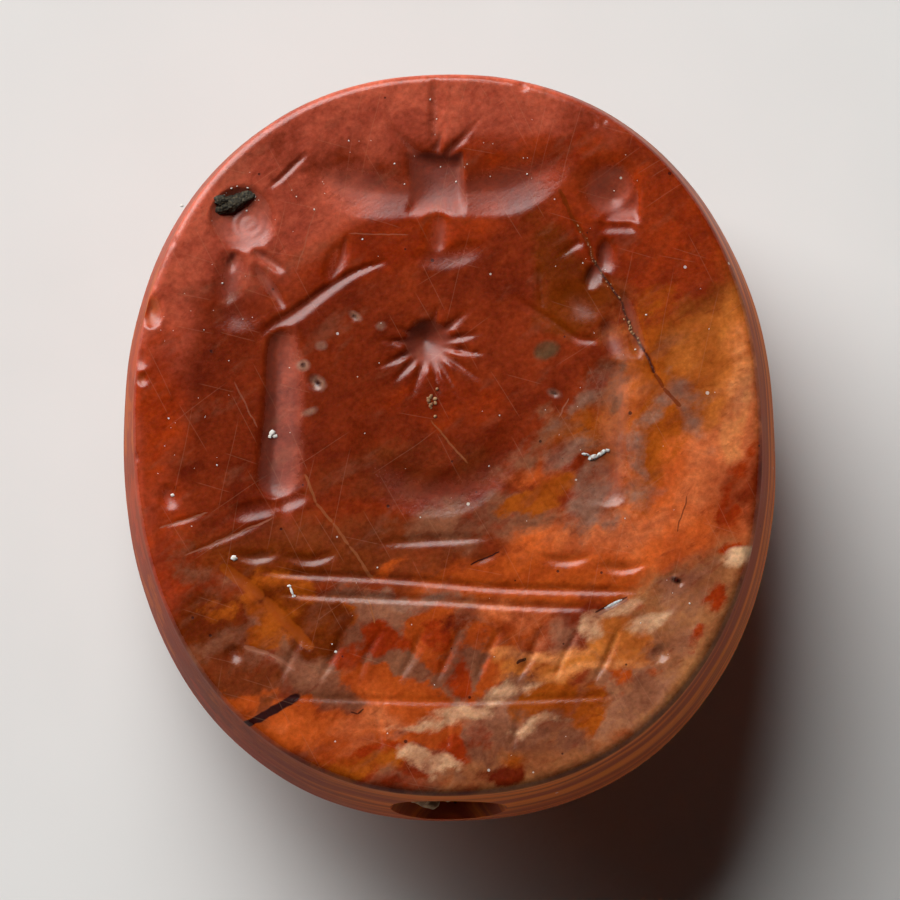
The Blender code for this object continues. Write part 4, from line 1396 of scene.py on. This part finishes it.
def jasper_material(colours):
    """Polished red jasper. below is 1 on the side and back, and ground is 1 in the cuts."""
    material, tree, shader, points = new_material("red_jasper", 0.38)
    grain = use_group(tree, grain_group(), Vector=points, Size=0.16)
    _, y, z = split_xyz(tree, points)
    cut = attribute(tree, CUT_DEPTH)
    uncut = calculate(tree, "ADD", z, cut)
    below = ramp(tree, uncut, FACE_HEIGHT / MM - 0.12, FACE_HEIGHT / MM - 0.5)
    ground = ramp(tree, cut, 0.07, 0.2)
    colour = paint_clouds(tree, colours, points, rgba(colours.brick))
    lightness = ramp(tree, grain["Value"], 0.25, 0.75, 0.72, 1.28, smooth=False)
    colour = blend(tree, 1.0, colour, lightness, mode="MULTIPLY")
    colour = paint_side(tree, colours, points, below, colour)
    colour = blend(tree, below, paint_marks(tree, colours, points, colour), colour)
    colour = blend(tree, times(tree, ground, 0.16), colour, CUT_TINT)
    scratches = times(tree, scratches_on(tree, points), calculate(tree, "SUBTRACT", 1.0, below))
    colour = blend(tree, times(tree, scratches, 0.09), colour, rgba(colours.cream))
    colour, pits = paint_dots(tree, colours, points, colour)
    tree.links.new(colour, shader.inputs["Base Color"])
    set_inputs(
        shader, IOR=1.54, Specular_IOR_Level=0.32, Subsurface_Weight=0.3,
        Subsurface_Radius=(1.0, 0.25, 0.12), Subsurface_Scale=0.4 * MM,
    )
    tree.links.new(polish(tree, grain["Value"], ground, y, uncut), shader.inputs["Roughness"])
    brushed = noise_at(tree, run_along(tree, points, 38, 0.35, 0.07), 1.0, detail=3.0)
    height = calculate(tree, "MULTIPLY_ADD", brushed, 0.6, grain["Height"])
    height = calculate(tree, "MULTIPLY_ADD", pits, -1.5, height)
    bumped(tree, shader, height, strength=0.3, distance=0.02)
    return material


def crumb_material(name, colour, paler, size):
    """A dull crumbly stuff of two colours, in grains of this size in millimetres."""
    material, tree, shader, points = new_material(name, 0.85)
    grain = use_group(tree, grain_group(), Vector=points, Size=size)
    share = ramp(tree, grain["Value"], 0.4, 0.7)
    tree.links.new(blend(tree, share, rgba(colour), rgba(paler)), shader.inputs["Base Color"])
    bumped(tree, shader, grain["Height"], strength=0.5, distance=0.03)
    return material


# Stage

# What the camera points at on the face, in metres
VIEW_CENTRE = (0.08 * MM, -0.49 * MM)
# Where the key light stands, and its width and height, in metres
KEY_PLACE = (-0.2925, 0.4155, 0.313)
KEY_SIZE = (0.84, 0.39)
# How far the floor's colour varies either way
FLOOR_VARIATION = 0.03


def aim(thing, place, target):
    """Puts the thing at its place and points it at the target, with the top of the face up."""
    back = (Vector(place) - Vector(target)).normalized()
    right = Vector((0, 1, 0)).cross(back).normalized()
    turned = Matrix((right, back.cross(right), back)).transposed().to_4x4()
    thing.matrix_world = Matrix.Translation(place) @ turned


def add_camera(stage):
    camera = bpy.data.objects.new("camera", bpy.data.cameras.new("camera"))
    bpy.context.scene.collection.objects.link(camera)
    camera.data.lens = stage.camera_lens
    camera.data.clip_start = 0.01
    target = Vector((*VIEW_CENTRE, FACE_HEIGHT))
    back = Vector((math.tan(stage.camera_side), -math.tan(stage.camera_tilt), 1)).normalized()
    aim(camera, target + back * stage.camera_distance, target)
    bpy.context.scene.camera = camera


def add_key_light(stage):
    """A soft light low above the top left of the face, so that it grazes the cuts."""
    light = bpy.data.lights.new("key_light", "AREA")
    light.shape = "RECTANGLE"
    light.size, light.size_y = KEY_SIZE
    light.energy = stage.key_power
    made = bpy.data.objects.new("key_light", light)
    bpy.context.scene.collection.objects.link(made)
    aim(made, KEY_PLACE, (0, 0, FACE_HEIGHT))


def add_world(stage):
    """Soft fill light, stronger from the top of the face and dim overhead, so the polish stays deep."""
    world = bpy.data.worlds.new("studio")
    world.use_nodes = True
    tree = world.node_tree
    background = tree.nodes["Background"]
    _, y, z = split_xyz(tree, tree.nodes.new("ShaderNodeTexCoord").outputs["Generated"])
    overhead = ramp(tree, z, 0.45, 0.8, 1.0, 0.03)
    lean = ramp(tree, y, -0.8, 0.8, 0.3, 0.82, smooth=False)
    strength = times(tree, times(tree, overhead, lean), stage.fill_strength)
    tree.links.new(strength, background.inputs["Strength"])
    bpy.context.scene.world = world


def add_floor(stage):
    bm = bmesh.new()
    bmesh.ops.create_grid(bm, x_segments=1, y_segments=1, size=stage.floor_size / 2)
    material, tree, shader, points = new_material("pale_floor", 0.9)
    set_inputs(shader, Specular_IOR_Level=0.1)
    fine = noise_at(tree, points, 0.2, detail=2.0)
    dark, light = (
        rgba(level * part for part in stage.floor_colour)
        for level in (1 - FLOOR_VARIATION, 1 + FLOOR_VARIATION)
    )
    tree.links.new(blend(tree, fine, dark, light), shader.inputs["Base Color"])
    floor = finished("floor", bm, material)


# Operators

# The paler colour in the crumbs of the dust, the residue and the earth
PALE_DUST = (0.8, 0.78, 0.74)
PALE_RESIDUE = (0.10, 0.075, 0.04)
PALE_EARTH = (0.46, 0.27, 0.13)


def hand_over(piece):
    """Hangs the piece on the stone. Raises an error if it came out empty."""
    if len(piece.data.polygons) == 0:
        raise RuntimeError(f"{piece.name} has no faces")
    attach(piece, "root")


class SEAL_OT_stone(bpy.types.Operator):
    """Model the engraved and drilled stone, in jasper"""

    bl_idname = "seal.stone"
    bl_label = "Stone"

    def execute(self, context):
        stone, cut = context.scene.seal_stone_sizes, context.scene.seal_engraving
        bm = bmesh.new()
        make_face(bm, stone, cut)
        rim_edges = make_rim(bm, stone, cut)
        make_side_and_back(bm, stone, rim_edges)
        piece = finished("stone", bm, jasper_material(context.scene.seal_colours))
        cut_away(piece, make_bore_cutter(stone))
        store_layers(piece.data)
        piece.data.set_sharp_from_angle(angle=math.radians(50))
        hand_over(piece)
        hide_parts("seal_stone")
        return {"FINISHED"}


class SEAL_OT_dust(bpy.types.Operator):
    """Scatter pale dust, two small lumps of it and a pale blue crust over the face"""

    bl_idname = "seal.dust"
    bl_label = "Dust"

    def execute(self, context):
        stone, cut = context.scene.seal_stone_sizes, context.scene.seal_engraving
        colours = context.scene.seal_colours
        bm = bmesh.new()
        settle(bm, DUST_LUMPS, 0.5, cut, 3)
        settle(bm, scattered_grains(stone), 0.6, cut, 1)
        hand_over(finished("dust", bm, crumb_material("dust", colours.dust, PALE_DUST, 0.05)))
        bm = bmesh.new()
        settle(bm, PALE_BLUE_LUMPS, 0.5, cut, 3)
        crust = crumb_material("crust", colours.crust, colours.slate, 0.08)
        hand_over(finished("pale_crust", bm, crust))
        return {"FINISHED"}


class SEAL_OT_residue(bpy.types.Operator):
    """Add the black-green lump in the left head, the grains in the crack and the earth in the hole"""

    bl_idname = "seal.residue"
    bl_label = "Residue and earth"

    def execute(self, context):
        stone, cut = context.scene.seal_stone_sizes, context.scene.seal_engraving
        colours = context.scene.seal_colours
        bm = bmesh.new()
        settle(bm, RESIDUE_LUMPS, 0.6, cut, 5)
        residue = crumb_material("residue", colours.residue, PALE_RESIDUE, 0.07)
        hand_over(finished("residue", bm, residue))
        earth = crumb_material("earth", colours.earth, PALE_EARTH, 0.22)
        bm = bmesh.new()
        settle(bm, crack_grains(), 0.5, cut, 2)
        hand_over(finished("crack_grains", bm, earth))
        bm = bmesh.new()
        make_bore_earth(bm, stone)
        hand_over(finished("bore_earth", bm, earth))
        return {"FINISHED"}


class SEAL_OT_stage(bpy.types.Operator):
    """Add the pale floor, the soft lights and the camera"""

    bl_idname = "seal.stage"
    bl_label = "Stage"

    def execute(self, context):
        stage = context.scene.seal_stage
        add_floor(stage)
        add_world(stage)
        add_key_light(stage)
        add_camera(stage)
        context.scene.view_settings.view_transform = "Standard"
        return {"FINISHED"}


class SEAL_PT_panel(bpy.types.Panel):
    """Buttons for the seal's pieces"""

    bl_idname = "SEAL_PT_panel"
    bl_label = "Stamp Seal"
    bl_space_type = "VIEW_3D"
    bl_region_type = "UI"
    bl_category = "Seal"

    def draw(self, context):
        for operator in OPERATORS:
            self.layout.operator(operator.bl_idname)


SETTINGS = (
    ("seal_stone_sizes", StoneSizes),
    ("seal_engraving", EngravingSizes),
    ("seal_colours", JasperColours),
    ("seal_stage", StageSettings),
)
OPERATORS = (SEAL_OT_stone, SEAL_OT_dust, SEAL_OT_residue, SEAL_OT_stage)


def register():
    for name, group in SETTINGS:
        bpy.utils.register_class(group)
        setattr(bpy.types.Scene, name, PointerProperty(type=group))
    for made in (*OPERATORS, SEAL_PT_panel):
        bpy.utils.register_class(made)


def unregister():
    for made in (SEAL_PT_panel, *reversed(OPERATORS)):
        bpy.utils.unregister_class(made)
    for name, group in reversed(SETTINGS):
        delattr(bpy.types.Scene, name)
        bpy.utils.unregister_class(group)


def main():
    register()
    bpy.ops.seal.stone()
    bpy.ops.seal.dust()
    bpy.ops.seal.residue()
    bpy.ops.seal.stage()


if __name__ == "__main__":
    main()
